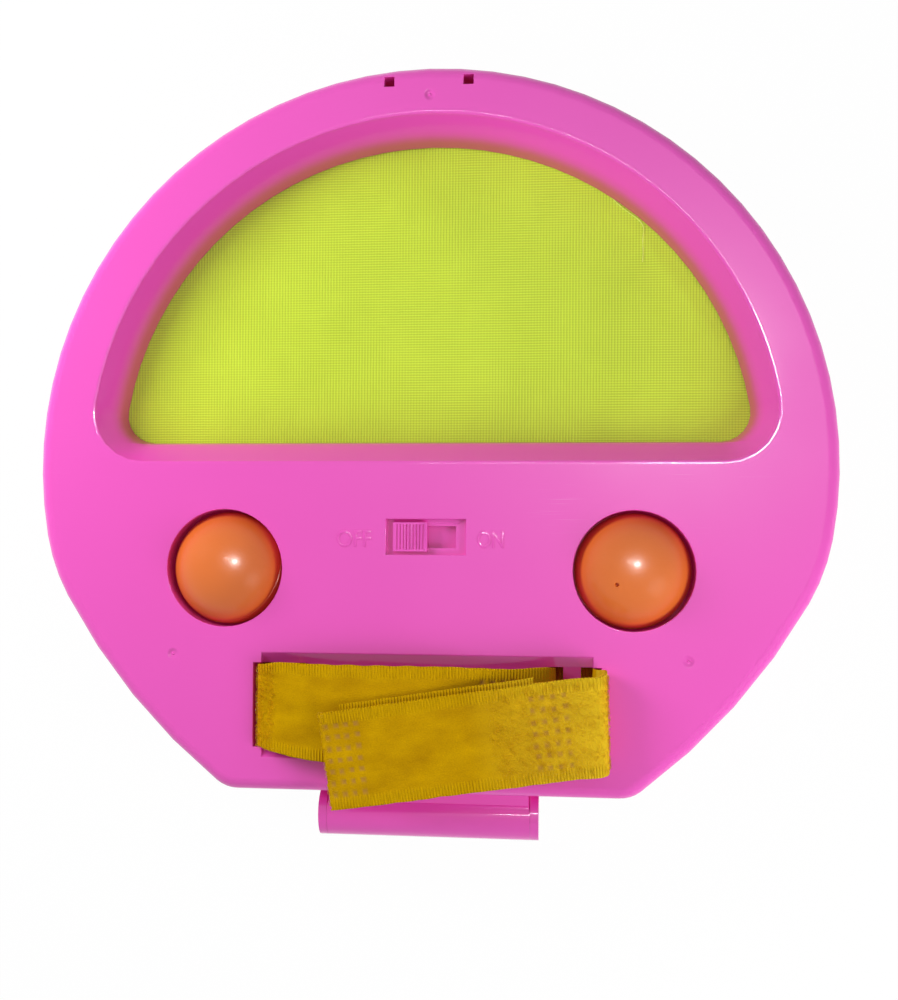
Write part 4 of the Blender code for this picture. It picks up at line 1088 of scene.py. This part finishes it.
# Hinge pin, screws and the works inside: plated steel, a green board with its chip, button cells in a
# tray, a small speaker, an impact sensor and their leads. They show only where the case is open.
metal_grain, metal_entry, metal_result = new_group(
    "plated_metal",
    (
        ("Colour", "INPUT", "NodeSocketColor"),
        ("Color", "OUTPUT", "NodeSocketColor"),
        ("Roughness", "OUTPUT", "NodeSocketFloat"),
    ),
)
metal_place = place_node(metal_grain, "ShaderNodeTexCoord", {}).outputs["Object"]
metal_noise = place_node(
    metal_grain, "ShaderNodeTexNoise", {"Vector": metal_place, "Scale": 800.0, "Detail": 3.0}
)
metal_dark = place_node(
    metal_grain,
    "ShaderNodeMapRange",
    {"Value": metal_noise.outputs["Fac"], "From Min": 0.3, "From Max": 0.7, "To Min": 0.0, "To Max": 0.35},
)
metal_tone = place_node(
    metal_grain,
    "ShaderNodeMix",
    {0: metal_dark.outputs[0], 6: metal_entry.outputs["Colour"], 7: (0.25, 0.25, 0.26, 1)},
    data_type="RGBA",
)
metal_rough = place_node(
    metal_grain,
    "ShaderNodeMapRange",
    {"Value": metal_noise.outputs["Fac"], "From Min": 0.3, "From Max": 0.7, "To Min": 0.22, "To Max": 0.42},
)
metal_grain.links.new(metal_tone.outputs[2], metal_result.inputs["Color"])
metal_grain.links.new(metal_rough.outputs[0], metal_result.inputs["Roughness"])


def plated(name, colour):
    """Plated metal with a slight grain."""
    material, tree, shader = new_material(name, Metallic=1.0)
    surface = place_node(tree, "ShaderNodeGroup", {})
    surface.node_tree = metal_grain
    surface.inputs["Colour"].default_value = colour
    tree.links.new(surface.outputs["Color"], shader.inputs["Base Color"])
    tree.links.new(surface.outputs["Roughness"], shader.inputs["Roughness"])
    return material


steel = plated("plated_steel", (0.62, 0.62, 0.64, 1))
brass = plated("bright_brass", (0.72, 0.52, 0.22, 1))
board_green, *_ = moulded_plastic(
    "board_mask", (0.02, 0.20, 0.06, 1), (0.015, 0.15, 0.045, 1), (0.1, 0.3, 0.1, 1), 0.2
)
black_plastic, *_ = moulded_plastic(
    "black_plastic", (0.02, 0.02, 0.02, 1), (0.03, 0.03, 0.03, 1), (0.1, 0.1, 0.1, 1), 0.3
)
red_cover, *_ = moulded_plastic(
    "red_insulation", (0.5, 0.02, 0.02, 1), (0.4, 0.015, 0.015, 1), (0.6, 0.1, 0.1, 1), 0.1
)
cone_film, *_ = moulded_plastic(
    "cone_film", (0.05, 0.05, 0.06, 1), (0.07, 0.07, 0.08, 1), (0.15, 0.15, 0.16, 1), 0.3
)
finishes = {
    "steel": steel,
    "brass": brass,
    "board_green": board_green,
    "black_plastic": black_plastic,
    "red_insulation": red_cover,
    "speaker_film": cone_film,
}
replaced = {
    "rear_shell", "front_shell", "rear_fabric", "front_fabric", "rear_bezel", "front_bezel", "rear_panel",
    "front_panel", "left_ball", "right_ball", "switch_knob", "hand_strap",
}
for subpart in frame["record"]["subparts"]:
    name, slot = subpart["node"], subpart["material_slot"]
    if name in replaced:
        continue
    node_finish = finishes.get(slot, pink_inner)
    node = frame["nodes"][name]
    if not node.material_slots:
        node.data.materials.append(node_finish)
    for place in node.material_slots:
        place.material = node_finish
